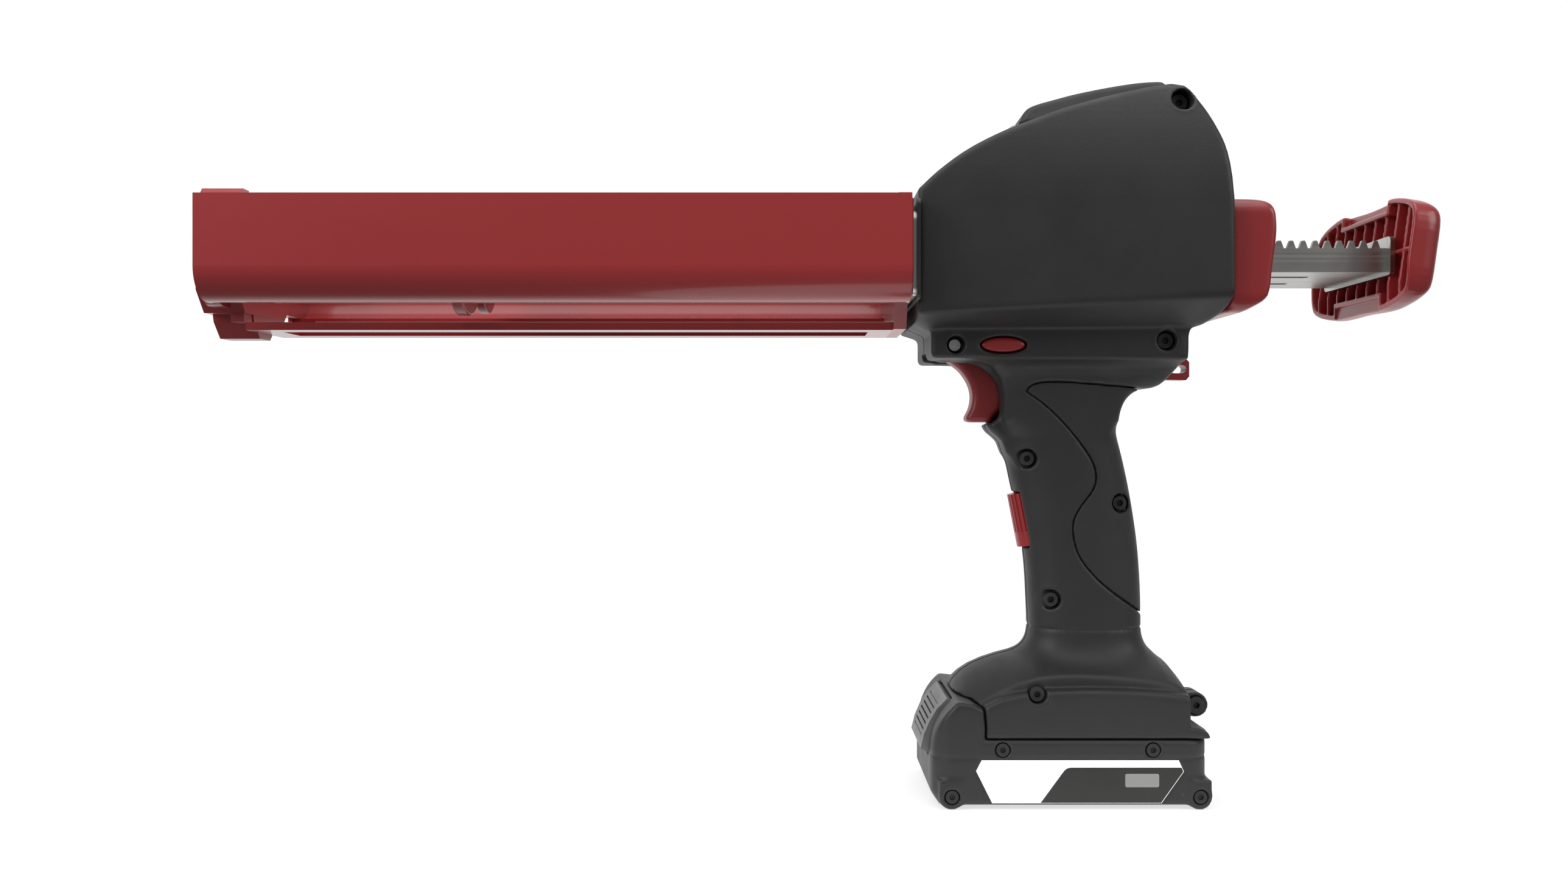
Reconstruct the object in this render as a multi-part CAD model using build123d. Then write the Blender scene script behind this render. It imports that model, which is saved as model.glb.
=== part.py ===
from build123d import *
import math
import os

os.makedirs("parts", exist_ok=True)

# ---------------------------------------------------------------------------
# Cordless dispensing gun for twin (two component) cartridges.
# Millimetres.  +Z up, nose towards -X, pull handle towards +X.
# Origin: centre of the flat foot plane under the battery.
# "left" is -Y and "right" is +Y for a user aiming towards -X.
# ---------------------------------------------------------------------------

# cartridge carrier
WALL_Y = 58.5            # outer half width of the two sheet side panels
WALL_T = 1.65            # sheet thickness
WALL_X0, WALL_X1 = -350.6, -67.5
WALL_TOP, WALL_BOT = 248.9, 207.0
WALL_R = 13.3            # outer bend radius at the lower edge
LIP_Y = 43.1             # inner end of the lower lip
SPINE_IN, SPINE_OUT = 10.0, 21.5
SPINE_Z = 197.9
YOKE_X0 = -361.9         # front of the neck collar
YOKE_T = 5.6
BRK_X0, BRK_X1 = -72.1, -66.8

# rack and plungers
RACK_Y = 29.5            # outer half width of the channel
RACK_T = 1.8
RACK_BOT = 221.2
RACK_TIP = 234.3
TOOTH_H = 3.15
PITCH = 5.0
RACK_X0, RACK_X1 = -243.0, 131.6
DISC_X = -254.0          # front face of the large plunger
R_LARGE, R_SMALL = 21.6, 15.6
DISC_Y, DISC_Z = 27.0, 225.0
TRAVEL_FWD, TRAVEL_BACK = 40.0, 160.0

# gear train
PA = math.radians(20.0)
M_RACK = PITCH / math.pi
Z_RACK = 12
AX_OUT = (5.0, RACK_TIP - 1.5 + M_RACK * Z_RACK / 2 + 0.10)
M_OUT, Z_OUT, Z_IDP = 1.25, 26, 13
A_OUT = math.radians(60.0)
M_MOT, Z_IDG, Z_MOT = 1.0, 34, 12
A_MOT = math.radians(170.0)
D_OUT = M_OUT * (Z_OUT + Z_IDP) / 2 + 0.05
D_MOT = M_MOT * (Z_IDG + Z_MOT) / 2 + 0.05
AX_IDL = (AX_OUT[0] + D_OUT * math.cos(A_OUT), AX_OUT[1] + D_OUT * math.sin(A_OUT))
AX_MOT = (AX_IDL[0] + D_MOT * math.cos(A_MOT), AX_IDL[1] + D_MOT * math.sin(A_MOT))

# housing
HOUSE_Y = 48.0           # half width of the motor housing
SHELL = 3.0
BAND_Y = 30.0
PIVOT = (-46.7, 191.2)   # trigger pivot
PIN_R = 2.4
TRIG_Y = 6.8
DIAL_R = 8.5
DIAL_L = 23.0
DIAL_TILT = 10.9         # degrees, along the front of the grip
DIAL_C = (-9.96, 118.1)

# battery
BAT_Y = 36.5
BAT_X0, BAT_X1 = -57.9, 57.5
SEAM_Z = 28.9


# ---------------------------------------------------------------- helpers
def facing_up(f):
    return f if f.normal_at().Z > 0 else -f


def mixed(items):
    """Planar face from chains of points: two points make a line, more make a spline."""
    edges = []
    for pts in items:
        p = [Vector(a, b, 0) for a, b in pts]
        edges.append(Edge.make_line(p[0], p[1]) if len(p) == 2 else Edge.make_spline(p))
    return facing_up(Face(Wire(edges)))


def poly(pts):
    return facing_up(Face(Wire.make_polygon([Vector(a, b, 0) for a, b in pts], close=True)))


def side(face, y0, y1):
    """Face drawn in (X, Z), given thickness from y0 to y1."""
    return Plane.XZ.offset(-y1) * extrude(face, y1 - y0, dir=(0, 0, 1))


def front(face, x0, x1):
    """Face drawn in (Y, Z), given thickness from x0 to x1."""
    return Plane.YZ.offset(x0) * extrude(face, x1 - x0, dir=(0, 0, 1))


def plan(face, z0, z1):
    return Plane.XY.offset(z0) * extrude(face, z1 - z0, dir=(0, 0, 1))


def box(x0, x1, y0, y1, z0, z1):
    return Pos((x0 + x1) / 2, (y0 + y1) / 2, (z0 + z1) / 2) * Box(x1 - x0, y1 - y0, z1 - z0)


def cyl_y(x, z, r, y0, y1):
    return Plane.XZ.offset(-y1) * Pos(x, z, (y1 - y0) / 2) * Cylinder(r, y1 - y0)


def cyl_x(y, z, r, x0, x1):
    return Plane.YZ.offset(x0) * Pos(y, z, (x1 - x0) / 2) * Cylinder(r, x1 - x0)


def cyl_z(x, y, r, z0, z1):
    return Pos(x, y, (z0 + z1) / 2) * Cylinder(r, z1 - z0)


def rr(cy, cz, w, h, r):
    """Rounded rectangle face centred on (cy, cz)."""
    return Pos(cy, cz, 0) * RectangleRounded(w, h, r)


def soften(shape, edges, radii):
    for r in radii:
        try:
            out = fillet(edges, r)
            if out.is_valid and out.volume > 0.5 * shape.volume:
                return out
        except Exception:
            pass
    return shape


def group(*solids):
    out = []
    for s in solids:
        out.extend(s.solids())
    return Compound(children=out)


def save(name, shape):
    shape.label = name
    export_step(shape, f"parts/{name}.step")


def mirror_y(shape):
    return mirror(shape, about=Plane.XZ)


def gear_points(c, m, z, thin, add, ded, phase, n=5, cut=0.03):
    """Spur gear outline in (X, Z) about c, one tooth centred on phase (radians)."""
    r = m * z / 2
    rb = r * math.cos(PA)
    ra, rf = r + add, r - ded
    inv = math.tan(PA) - PA
    half = (math.pi * m / 2 - thin) / 2 / r
    r0 = max(rb, rf)
    flank = []
    if rf < rb:
        flank.append((rf, half + inv - cut))
    for i in range(n + 1):
        q = r0 + (ra - r0) * i / n
        a = math.acos(min(1.0, rb / q))
        flank.append((q, half + inv - (math.tan(a) - a)))
    pts = []
    for k in range(z):
        t = phase + 2 * math.pi * k / z
        for q, h in flank:
            pts.append((c[0] + q * math.cos(t - h), c[1] + q * math.sin(t - h)))
        for q, h in reversed(flank):
            pts.append((c[0] + q * math.cos(t + h), c[1] + q * math.sin(t + h)))
    return pts


# ---------------------------------------------------------------- carrier
def wall_profile(sign):
    s = sign
    o = WALL_Y
    i = WALL_Y - WALL_T
    ro, ri = WALL_R, WALL_R - WALL_T
    k = math.sqrt(0.5)
    e = []
    P = lambda y, z: Vector(s * y, z, 0)
    zc = WALL_BOT + ro
    yc = o - ro
    e.append(Edge.make_line(P(o, WALL_TOP), P(o, zc)))
    e.append(Edge.make_three_point_arc(P(o, zc), P(yc + ro * k, zc - ro * k), P(yc, WALL_BOT)))
    e.append(Edge.make_line(P(yc, WALL_BOT), P(LIP_Y, WALL_BOT)))
    e.append(Edge.make_line(P(LIP_Y, WALL_BOT), P(LIP_Y, WALL_BOT + WALL_T)))
    e.append(Edge.make_line(P(LIP_Y, WALL_BOT + WALL_T), P(yc, WALL_BOT + WALL_T)))
    e.append(Edge.make_three_point_arc(P(yc, WALL_BOT + WALL_T), P(yc + ri * k, zc - ri * k), P(i, zc)))
    e.append(Edge.make_line(P(i, zc), P(i, WALL_TOP)))
    e.append(Edge.make_line(P(i, WALL_TOP), P(o, WALL_TOP)))
    return facing_up(Face(Wire(e)))


left_wall = front(wall_profile(-1), WALL_X0, WALL_X1)
right_wall = front(wall_profile(1), WALL_X0, WALL_X1)
# shallow notch in each lip where the yoke arms pass
for s, w in ((-1, "l"), (1, "r")):
    n = box(-349.0, -338.0, min(s * 40.0, s * 44.6), max(s * 40.0, s * 44.6), 200.0, 209.5)
    if s < 0:
        left_wall = left_wall - n
    else:
        right_wall = right_wall - n
save("carrier_left_side", left_wall)
save("carrier_right_side", right_wall)

# spine: two folded rails with an open slot between them
spine = None
for s in (-1, 1):
    y0, y1 = sorted((s * SPINE_IN, s * SPINE_OUT))
    rail = box(-344.6, BRK_X0, y0, y1, SPINE_Z, SPINE_Z + 1.7)
    f0, f1 = sorted((s * (SPINE_OUT - 1.7), s * SPINE_OUT))
    rail += box(-344.6, BRK_X0, f0, f1, SPINE_Z, SPINE_Z + 3.3)
    g0, g1 = sorted((s * SPINE_IN, s * (SPINE_IN + 1.2)))
    rail += box(-344.6, BRK_X0, g0, g1, SPINE_Z, SPINE_Z + 2.6)
    spine = rail if spine is None else spine + rail
spine += box(-344.6, -333.0, -SPINE_OUT, SPINE_OUT, SPINE_Z, SPINE_Z + 1.7)
spine += box(-82.0, BRK_X0, -SPINE_OUT, SPINE_OUT, SPINE_Z, SPINE_Z + 1.7)
save("carrier_spine", spine)

# front yoke: full width plate, neck collar with a U slot, and a foot below
in_y = WALL_Y - WALL_T
zc = WALL_BOT + WALL_R
yk = []
k = math.sqrt(0.5)
ri = WALL_R - WALL_T
plate_pts = [(-in_y, 246.5), (-in_y, zc)]
for a in range(1, 8):
    t = math.radians(90 * a / 8)
    plate_pts.append((-(in_y - ri) - ri * math.cos(t), zc - ri * math.sin(t)))
plate_pts += [(-(in_y - ri), WALL_BOT + WALL_T), (-22.0, WALL_BOT + WALL_T), (-22.0, SPINE_Z + 3.4)]
plate_pts += [(-y, z) for y, z in reversed(plate_pts)]
yoke = front(poly(plate_pts), -350.6, -350.6 + YOKE_T)
yoke += front(rr(0, 229.0, 78.0, 44.0, 9.0), -356.3, -350.0)
collar = front(poly([(-24.0, 257.0), (-28.0, 252.0), (-30.0, 240.0), (-30.0, 214.0), (-22.0, 205.0), (22.0, 205.0), (30.0, 214.0), (30.0, 240.0), (28.0, 252.0), (24.0, 257.0)]), YOKE_X0, -344.5)
yoke += collar
foot = front(poly([(-13.5, 212.0), (-13.5, 205.5), (-12.4, 202.0), (-5.7, 195.4), (5.7, 195.4), (12.4, 202.0), (13.5, 205.5), (13.5, 212.0)]), YOKE_X0, -344.6)
yoke += foot
neck_slot = front(rr(0, 246.0, 36.0, 62.0, 17.9), YOKE_X0 - 2.0, -340.0)
yoke -= neck_slot
save("front_yoke", yoke)

# rear bracket with the passage for the rack
brk = front(poly([(-in_y, 247.0), (-in_y, zc)] + [(-(in_y - ri) - ri * math.cos(math.radians(90 * a / 8)), zc - ri * math.sin(math.radians(90 * a / 8))) for a in range(1, 8)] +
                 [(-(in_y - ri), 208.7), (-31.0, 208.7), (-23.7, 198.1), (23.7, 198.1), (31.0, 208.7), (in_y - ri, 208.7)] +
                 [((in_y - ri) + ri * math.cos(math.radians(90 * a / 8)), zc - ri * math.sin(math.radians(90 * a / 8))) for a in range(7, 0, -1)] +
                 [(in_y, zc), (in_y, 247.0)]), BRK_X0, BRK_X1)
rack_port = lambda x0, x1: box(x0, x1, -31.0, 31.0, 219.4, 236.0)
brk -= rack_port(-80, -60)
SCR = [(-38.0, 226.0), (38.0, 226.0), (-38.0, 241.0), (38.0, 241.0)]
for y, z in SCR:
    brk -= cyl_x(y, z, 2.1, -80, -60)
# two pointed locating bumps above the bracket
for s in (-1, 1):
    brk += front(poly([(s * 50.0 - 3.0, 246.9), (s * 50.0 + 3.0, 246.9), (s * 50.0, 250.6)]), BRK_X0, BRK_X1)
save("rear_bracket", brk)

plate = front(rr(0, 226.0, 110.0, 34.0, 5.0), -66.8, -65.4)
plate -= rack_port(-80, -60)
for y, z in SCR:
    plate -= cyl_x(y, z, 2.1, -80, -60)
save("front_steel_plate", plate)

sock = front(rr(0, 227.5, 114.0, 40.0, 3.0), -65.4, -64.0)
sock += front(rr(0, 228.5, 89.0, 37.0, 4.0), -64.4, -52.0)
sock -= box(-80, -40, -31.0, 31.0, 219.0, 236.4)
for y, z in SCR:
    sock -= cyl_x(y, z, 1.75, -80, -54.0)
save("carrier_socket", sock)

scr = []
for y, z in SCR:
    one = cyl_x(y, z, 3.6, -75.0, -72.1) + cyl_x(y, z, 1.7, -72.2, -55.0)
    one -= front(Pos(y, z, 0) * RegularPolygon(1.7, 6), -75.5, -73.3)
    scr.append(one)
save("carrier_screws", group(*scr))

# ---------------------------------------------------------------- rack
def flange_pts():
    root = RACK_TIP - TOOTH_H
    half_tip, half_root = 0.70, 0.70 + TOOTH_H * math.tan(PA)
    pts = [(RACK_X0, RACK_BOT), (RACK_X0, RACK_TIP - 0.6), (RACK_X0 + 6.0, RACK_TIP - 0.6), (RACK_X0 + 6.0, root)]
    c = AX_OUT[0] + PITCH / 2
    k0 = math.ceil((RACK_X0 + 9.0 - c) / PITCH)
    k1 = math.floor((RACK_X1 - 4.0 - c) / PITCH)
    for k in range(k0, k1 + 1):
        x = c + k * PITCH
        pts += [(x - half_root, root), (x - half_tip, RACK_TIP), (x + half_tip, RACK_TIP), (x + half_root, root)]
    pts += [(RACK_X1, root), (RACK_X1, RACK_BOT)]
    return pts


fl = poly(flange_pts())
rack = side(fl, -RACK_Y, -RACK_Y + RACK_T)
rack += side(fl, RACK_Y - RACK_T, RACK_Y)
rack += box(RACK_X0, RACK_X1, -RACK_Y, RACK_Y, RACK_BOT, RACK_BOT + RACK_T)
for s in (-1, 1):
    bead_hi = plan(rr(-57.0, s * 12.0, 330.0, 8.0, 3.9), RACK_BOT + 0.5, RACK_BOT + RACK_T + 1.1)
    bead_lo = plan(rr(-57.0, s * 12.0, 326.4, 4.4, 2.1), RACK_BOT - 0.5, RACK_BOT + 1.1)
    rack = rack + bead_hi - bead_lo
save("rack_channel", rack)

end_plate = front(rr(0, 227.75, 67.6, 15.9, 2.0), 131.6, 133.6)
for s in (-1, 1):
    end_plate -= cyl_x(s * 20.0, 228.6, 2.1, 130, 136)
save("rack_end_plate", end_plate)

# crosshead and the two plungers
head = front(rr(0, 227.0, 66.0, 21.0, 3.0), -248.8, RACK_X0)
for s in (-1, 1):
    head -= cyl_x(s * 20.0, 229.2, 2.1, -250, -240)
save("plunger_crosshead", head)


def plunger(y, r, x0, x1, hub_x1):
    d = cyl_x(y, DISC_Z, r, x0, x1)
    d = soften(d, d.edges().filter_by(GeomType.CIRCLE), (1.0, 0.6))
    # relief ring on the pushing face
    d -= cyl_x(y, DISC_Z, r - 4.0, x0 - 1.0, x0 + 0.9) - cyl_x(y, DISC_Z, 8.0, x0 - 1.0, x0 + 0.9)
    if hub_x1 > x1:
        d += cyl_x(y, DISC_Z, 9.0, x1 - 0.2, hub_x1)
    return d


large = plunger(-DISC_Y, R_LARGE, DISC_X, -248.8, -248.8)
small = plunger(DISC_Y, R_SMALL, -257.0, -252.6, -248.8)
large -= cyl_x(-20.0, 229.2, 1.75, -252.5, -240)
small -= cyl_x(20.0, 229.2, 1.75, -252.5, -240)
save("large_plunger", large)
save("small_plunger", small)
ps = []
for s in (-1, 1):
    one = cyl_x(s * 20.0, 229.2, 4.2, RACK_X0, RACK_X0 + 4.0) + cyl_x(s * 20.0, 229.2, 1.7, -252.0, RACK_X0 + 0.5)
    one -= front(Pos(s * 20.0, 229.2, 0) * RegularPolygon(1.9, 6), RACK_X0 + 2.0, RACK_X0 + 5.0)
    ps.append(one)
save("plunger_screws", group(*ps))

# pull handle: cored red grip with ribs on its front face
H_OUT = [(-50.0, 229.0), (-49.8, 240.0), (-47.4, 246.4), (-41.0, 249.8), (-33.0, 251.8), (-25.0, 252.9), (-15.0, 252.7), (0.0, 252.2),
         (15.0, 252.7), (25.0, 252.9), (33.0, 251.8), (41.0, 249.8), (47.4, 246.4), (49.8, 240.0), (50.0, 229.0),
         (49.8, 218.0), (47.4, 211.8), (41.0, 208.9), (33.0, 207.2), (25.0, 206.2), (15.0, 206.1), (0.0, 206.4),
         (-15.0, 206.1), (-25.0, 206.2), (-33.0, 207.2), (-41.0, 208.9), (-47.4, 211.8), (-49.8, 218.0)]


def handle_face(d):
    pts = []
    n = len(H_OUT)
    for i, (y, z) in enumerate(H_OUT):
        (y0, z0), (y1, z1) = H_OUT[i - 1], H_OUT[(i + 1) % n]
        t = math.hypot(y1 - y0, z1 - z0)
        ny, nz = (z1 - z0) / t, -(y1 - y0) / t
        if ny * y + nz * (z - 229.0) > 0:
            ny, nz = -ny, -nz
        pts.append((y + ny * d, z + nz * d))
    return mixed([pts[:15], pts[14:] + pts[:1]])


hface = handle_face(0.0)
hin = handle_face(2.4)
HX0, HX1 = 0.0, 13.4
grip = front(hface, HX0, HX1)
grip = soften(grip, grip.faces().sort_by(Axis.X)[-1].edges(), (4.5, 3.0, 2.0))
core = front(hin, HX0 - 1.0, 9.0)
# the middle of the rim stands lower, above and below, with solid shoulders behind it
for z0, z1 in ((245.9, 262.0), (198.0, 213.6)):
    core -= box(HX0 - 2.0, 9.5, -23.8, 23.8, z0, z1)
grip -= core
for z0, z1 in ((248.1, 262.0), (198.0, 211.4)):
    grip -= box(HX0 - 1.0, 3.2, -21.8, 21.8, z0, z1)
ribs = None
for k in range(-4, 5):
    b = box(1.2, 9.5, k * 10.2 - 0.8, k * 10.2 + 0.8, 200, 260)
    ribs = b if ribs is None else ribs + b
ribs += box(1.2, 9.5, -49.0, 49.0, 228.4, 230.0)
ribs = ribs & (core & box(-5.0, 9.5, -60.0, 60.0, 190.0, 270.0))
grip += ribs
for s in (-1, 1):
    grip += cyl_x(s * 20.0, 228.6, 5.0, 2.4, 10.0)
TILT = 8.0
place = Pos(132.4, 0, 229.0) * Rot(0, TILT, 0) * Pos(0, 0, -229.0)
grip = place * grip
# central recess for the rack end plate, and its two screw bosses
grip -= box(120.0, 133.65, -34.1, 34.1, 219.4, 236.1)
grip -= box(120.0, 131.7, -60.0, 60.0, 200.0, 260.0)
for s in (-1, 1):
    grip -= cyl_x(s * 20.0, 228.6, 1.75, 130.0, 141.0)
handle = max(grip.solids(), key=lambda q: q.volume)
print("handle", handle.volume, handle.is_valid)
save("pull_handle", handle)
hs = []
for s in (-1, 1):
    hs.append(cyl_x(s * 20.0, 228.6, 3.6, 129.3, 131.6) + cyl_x(s * 20.0, 228.6, 1.7, 131.5, 140.0) - front(Pos(s * 20.0, 228.6, 0) * RegularPolygon(1.6, 6), 129.0, 130.6))
save("handle_screws", group(*hs))

# ---------------------------------------------------------------- gear train
def pinion_face(c, m, z, thin, add, ded, phase):
    return poly(gear_points(c, m, z, thin, add, ded, phase))


rp = side(pinion_face(AX_OUT, M_RACK, Z_RACK, 0.42, 1.35, 1.85, -math.pi / 2), -31.0, -26.6)
rp = rp + cyl_y(AX_OUT[0], AX_OUT[1], 7.2, -33.4, -30.9) - cyl_y(AX_OUT[0], AX_OUT[1], 5.0, -40, 0)
save("left_rack_pinion", rp)
rp2 = side(pinion_face(AX_OUT, M_RACK, Z_RACK, 0.42, 1.35, 1.85, -math.pi / 2), 26.6, 31.0)
rp2 = rp2 + cyl_y(AX_OUT[0], AX_OUT[1], 7.2, 30.9, 33.4) - cyl_y(AX_OUT[0], AX_OUT[1], 5.0, 0, 40)
save("right_rack_pinion", rp2)
save("drive_shaft", cyl_y(AX_OUT[0], AX_OUT[1], 5.0, -39.5, 39.5))
og = side(pinion_face(AX_OUT, M_OUT, Z_OUT, 0.24, 1.1, 1.6, A_OUT), 18.4, 25.6)
og = og + cyl_y(AX_OUT[0], AX_OUT[1], 5.9, 12.0, 18.5) - cyl_y(AX_OUT[0], AX_OUT[1], 5.0, 0, 40)
save("output_gear", og)

ip = side(pinion_face(AX_IDL, M_OUT, Z_IDP, 0.24, 1.1, 1.6, A_OUT + math.pi + math.pi / Z_IDP), 17.5, 26.5)
ip -= cyl_y(AX_IDL[0], AX_IDL[1], 3.0, 0, 40)
save("idler_pinion", ip)
ig = side(pinion_face(AX_IDL, M_MOT, Z_IDG, 0.2, 0.9, 1.25, A_MOT), 9.0, 16.6)
ig = ig + cyl_y(AX_IDL[0], AX_IDL[1], 5.5, 16.5, 17.5) - cyl_y(AX_IDL[0], AX_IDL[1], 3.0, 0, 40)
save("idler_gear", ig)
save("idler_shaft", cyl_y(AX_IDL[0], AX_IDL[1], 3.0, -39.0, 39.0))
mp = side(pinion_face(AX_MOT, M_MOT, Z_MOT, 0.2, 0.9, 1.25, A_MOT + math.pi + math.pi / Z_MOT), 8.6, 17.0)
mp -= cyl_y(AX_MOT[0], AX_MOT[1], 1.6, 0, 40)
save("motor_pinion", mp)
save("motor_shaft", cyl_y(AX_MOT[0], AX_MOT[1], 1.6, -31.0, 17.6))

can = cyl_y(AX_MOT[0], AX_MOT[1], 14.0, -30.0, 4.0)
can += cyl_y(AX_MOT[0], AX_MOT[1], 5.0, 3.9, 6.6)
can -= cyl_y(AX_MOT[0], AX_MOT[1], 1.65, -40, 20)
can -= cyl_y(AX_MOT[0], AX_MOT[1], 12.6, -30.5, -24.0)
save("motor_can", can)
cap = cyl_y(AX_MOT[0], AX_MOT[1], 12.5, -33.6, -24.0) - cyl_y(AX_MOT[0], AX_MOT[1], 1.65, -32.0, -20.0)
save("motor_end_cap", cap)

# frame plates carry the shafts; spacers tie them together
FR = [(-24.0, 238.5), (-24.0, 259.0), (-14.0, 270.0), (6.0, 276.0), (44.0, 276.0), (49.0, 262.0), (49.0, 238.5)]
SP = [(-19.0, 243.5), (43.0, 243.5), (41.0, 270.0)]
brg = []
for s, name in ((-1, "gear_frame_left"), (1, "gear_frame_right")):
    y0, y1 = sorted((s * 34.0, s * 38.0))
    g = side(poly(FR), y0, y1)
    g -= cyl_y(AX_OUT[0], AX_OUT[1], 9.02, y0 - 1, y1 + 1)
    g -= cyl_y(AX_IDL[0], AX_IDL[1], 6.02, y0 - 1, y1 + 1)
    for x, z in SP:
        g -= cyl_y(x, z, 1.8, y0 - 1, y1 + 1)
    if s < 0:
        g -= cyl_y(AX_MOT[0], AX_MOT[1], 4.0, y0 - 1, y1 + 1)
    g -= side(poly([(-18, 249), (-18, 260), (-12, 267), (-9, 262), (-10, 249)]), y0 - 1, y1 + 1)
    save(name, g.solids()[0] if len(g.solids()) == 1 else g)
    brg.append(cyl_y(AX_OUT[0], AX_OUT[1], 9.0, y0, y1) - cyl_y(AX_OUT[0], AX_OUT[1], 5.05, y0 - 1, y1 + 1))
    brg.append(cyl_y(AX_IDL[0], AX_IDL[1], 6.0, y0, y1) - cyl_y(AX_IDL[0], AX_IDL[1], 3.05, y0 - 1, y1 + 1))
save("shaft_bearings", group(*brg))
sps = []
for x, z in SP:
    sps.append(cyl_y(x, z, 3.2, -34.0, 34.0) + cyl_y(x, z, 1.75, -38.0, 38.0) + cyl_y(x, z, 2.8, -39.6, -38.0) + cyl_y(x, z, 2.8, 38.0, 39.6))
save("frame_spacers", group(*sps))

guide = box(-48.0, 56.0, -33.4, 33.4, 211.5, 236.6) - box(-50.0, 58.0, -29.9, 29.9, 220.9, 240.0)
guide -= box(-40.0, 48.0, -26.0, 26.0, 210.0, 218.0)
guide -= box(AX_OUT[0] - 13.5, AX_OUT[0] + 13.5, -40.0, 40.0, 229.6, 240.0)
save("rack_guide", guide)

# ---------------------------------------------------------------- housing
TOP = [(-64.0, 252.6), (-56.0, 260.1), (-46.0, 267.7), (-36.0, 273.5), (-25.0, 278.7), (-16.2, 282.1), (-6.2, 286.0),
       (3.8, 289.2), (13.8, 292.1), (23.8, 294.6), (32.6, 296.6), (41.0, 298.0)]
REAR = [(46.4, 297.0), (49.9, 292.1), (53.6, 286.0), (57.0, 279.1), (60.2, 271.1), (62.1, 262.1), (63.3, 250.1), (63.5, 240.0)]
BOTTOM = [(63.5, 210.3), (43.6, 207.9), (18.7, 206.9), (-11.1, 205.4), (-64.0, 202.5)]


def shift_in(pts, d):
    """Move an outline's points inwards (towards the middle of the housing) by d."""
    if d == 0:
        return list(pts)
    out = []
    for i, (x, z) in enumerate(pts):
        x0, z0 = pts[max(i - 1, 0)]
        x1, z1 = pts[min(i + 1, len(pts) - 1)]
        t = math.hypot(x1 - x0, z1 - z0)
        nx, nz = -(z1 - z0) / t, (x1 - x0) / t
        if nx * (0 - x) + nz * (240 - z) < 0:
            nx, nz = -nx, -nz
        out.append((x + nx * d, z + nz * d))
    return out


def house_side(d):
    t, r, b = shift_in(TOP, d), shift_in(REAR, d), shift_in(BOTTOM, d)
    t[0] = (-64.0 + d, t[0][1] - (0.9 * d if d else 0))
    b[-1] = (-64.0 + d, b[-1][1])
    r[-1] = (63.5 - d, r[-1][1])
    b[0] = (63.5 - d, b[0][1])
    return mixed([t, [t[-1], r[0]], r, [r[-1], b[0]], b, [b[-1], t[0]]])


def upper_body(d):
    """Motor housing outline, inset by d on every side."""
    a = side(house_side(d), -60.0, 60.0)
    h = HOUSE_Y - d
    prof = [(-30.5 + d, 196.0), (-h, 204.5 + d * 0.4), (-h, 257.0 - d * 0.4), (-40.5 + d, 283.0 - d * 0.3), (-34.0 + d, 296.0 - d), (-24.0, 305.0 - d)]
    prof = prof + [(-y, z) for y, z in reversed(prof)]
    a = a & front(poly(prof), -80.0, 80.0)
    low = side(poly([(63.5 - d, 213.0), (63.5 - d, 210.3), (60.0 - d, 203.0 + d * 0.3), (49.0 - d, 197.4 + d), (-60.0 + d, 197.4 + d), (-64.0 + d, 199.4 + d), (-64.0 + d, 213.0)]), -60.0, 60.0)
    lp = [(-30.5 + d, 196.0 + d), (-h, 205.0 + d * 0.4), (-h, 213.0), (h, 213.0), (h, 205.0 + d * 0.4), (30.5 - d, 196.0 + d)]
    low = low & front(poly(lp), -80.0, 80.0)
    return a + low


up_out = upper_body(0.0)
up_in = upper_body(SHELL)

# band above the trigger and grip root
band_pts = [(-57.0, 186.2), (-57.0, 199.0), (49.3, 200.5), (49.3, 184.0), (47.6, 181.6), (39.9, 173.9), (26.3, 172.0), (-24.0, 172.0),
            (-25.6, 177.0), (-29.4, 182.6), (-34.4, 185.6)]
band_out = side(poly(band_pts), -BAND_Y, BAND_Y)
band_prof = [(-BAND_Y, 201.0), (-BAND_Y, 186.0), (-21.0, 172.0), (21.0, 172.0), (BAND_Y, 186.0), (BAND_Y, 201.0)]
band_out = band_out & front(poly(band_prof), -80.0, 80.0)
bi = [(-54.4, 188.8), (-54.4, 203.0), (46.7, 203.0), (46.7, 185.2), (45.2, 182.9), (38.0, 176.6), (26.3, 174.6), (10.0, 160.0), (-16.0, 160.0), (-18.0, 180.0), (-33.4, 188.4)]
band_in = side(poly(bi), -27.4, 27.4)
band_in = band_in & front(poly([(-27.4, 204.0), (-27.4, 187.0), (-17.5, 170.0), (-15.0, 158.0), (15.0, 158.0), (17.5, 170.0), (27.4, 187.0), (27.4, 204.0)]), -80.0, 80.0)

# grip: lofted through rounded sections, front and rear X given at each height
SECT = [(56.0, -12.4, 37.4, 19.4), (64.0, -11.9, 36.9, 18.9), (71.0, -11.6, 36.7, 18.7), (83.8, -12.2, 36.7, 18.4), (95.3, -12.7, 36.2, 18.2),
        (108.8, -14.2, 35.1, 18.0), (124.2, -17.2, 32.8, 18.0), (135.9, -19.8, 30.6, 18.0), (147.6, -22.2, 27.9, 18.2),
        (157.0, -24.2, 25.2, 18.8), (165.0, -24.6, 24.9, 19.8), (174.0, -25.2, 28.6, 22.6)]


def grip_body(d, sect=SECT):
    wires = []
    for z, xf, xr, w in sect:
        cx, a, b = (xf + xr) / 2, (xr - xf) / 2 - d, w - d
        pts = []
        for i in range(20):
            t = 2 * math.pi * (i + 0.5) / 20
            c, s_ = math.cos(t), math.sin(t)
            n = 2 / 2.5
            pts.append(Vector(cx + a * math.copysign(abs(c) ** n, c), b * math.copysign(abs(s_) ** n, s_), z))
        wires.append(Wire([Edge.make_spline(pts, periodic=True)]))
    return Solid.make_loft(wires)


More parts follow.
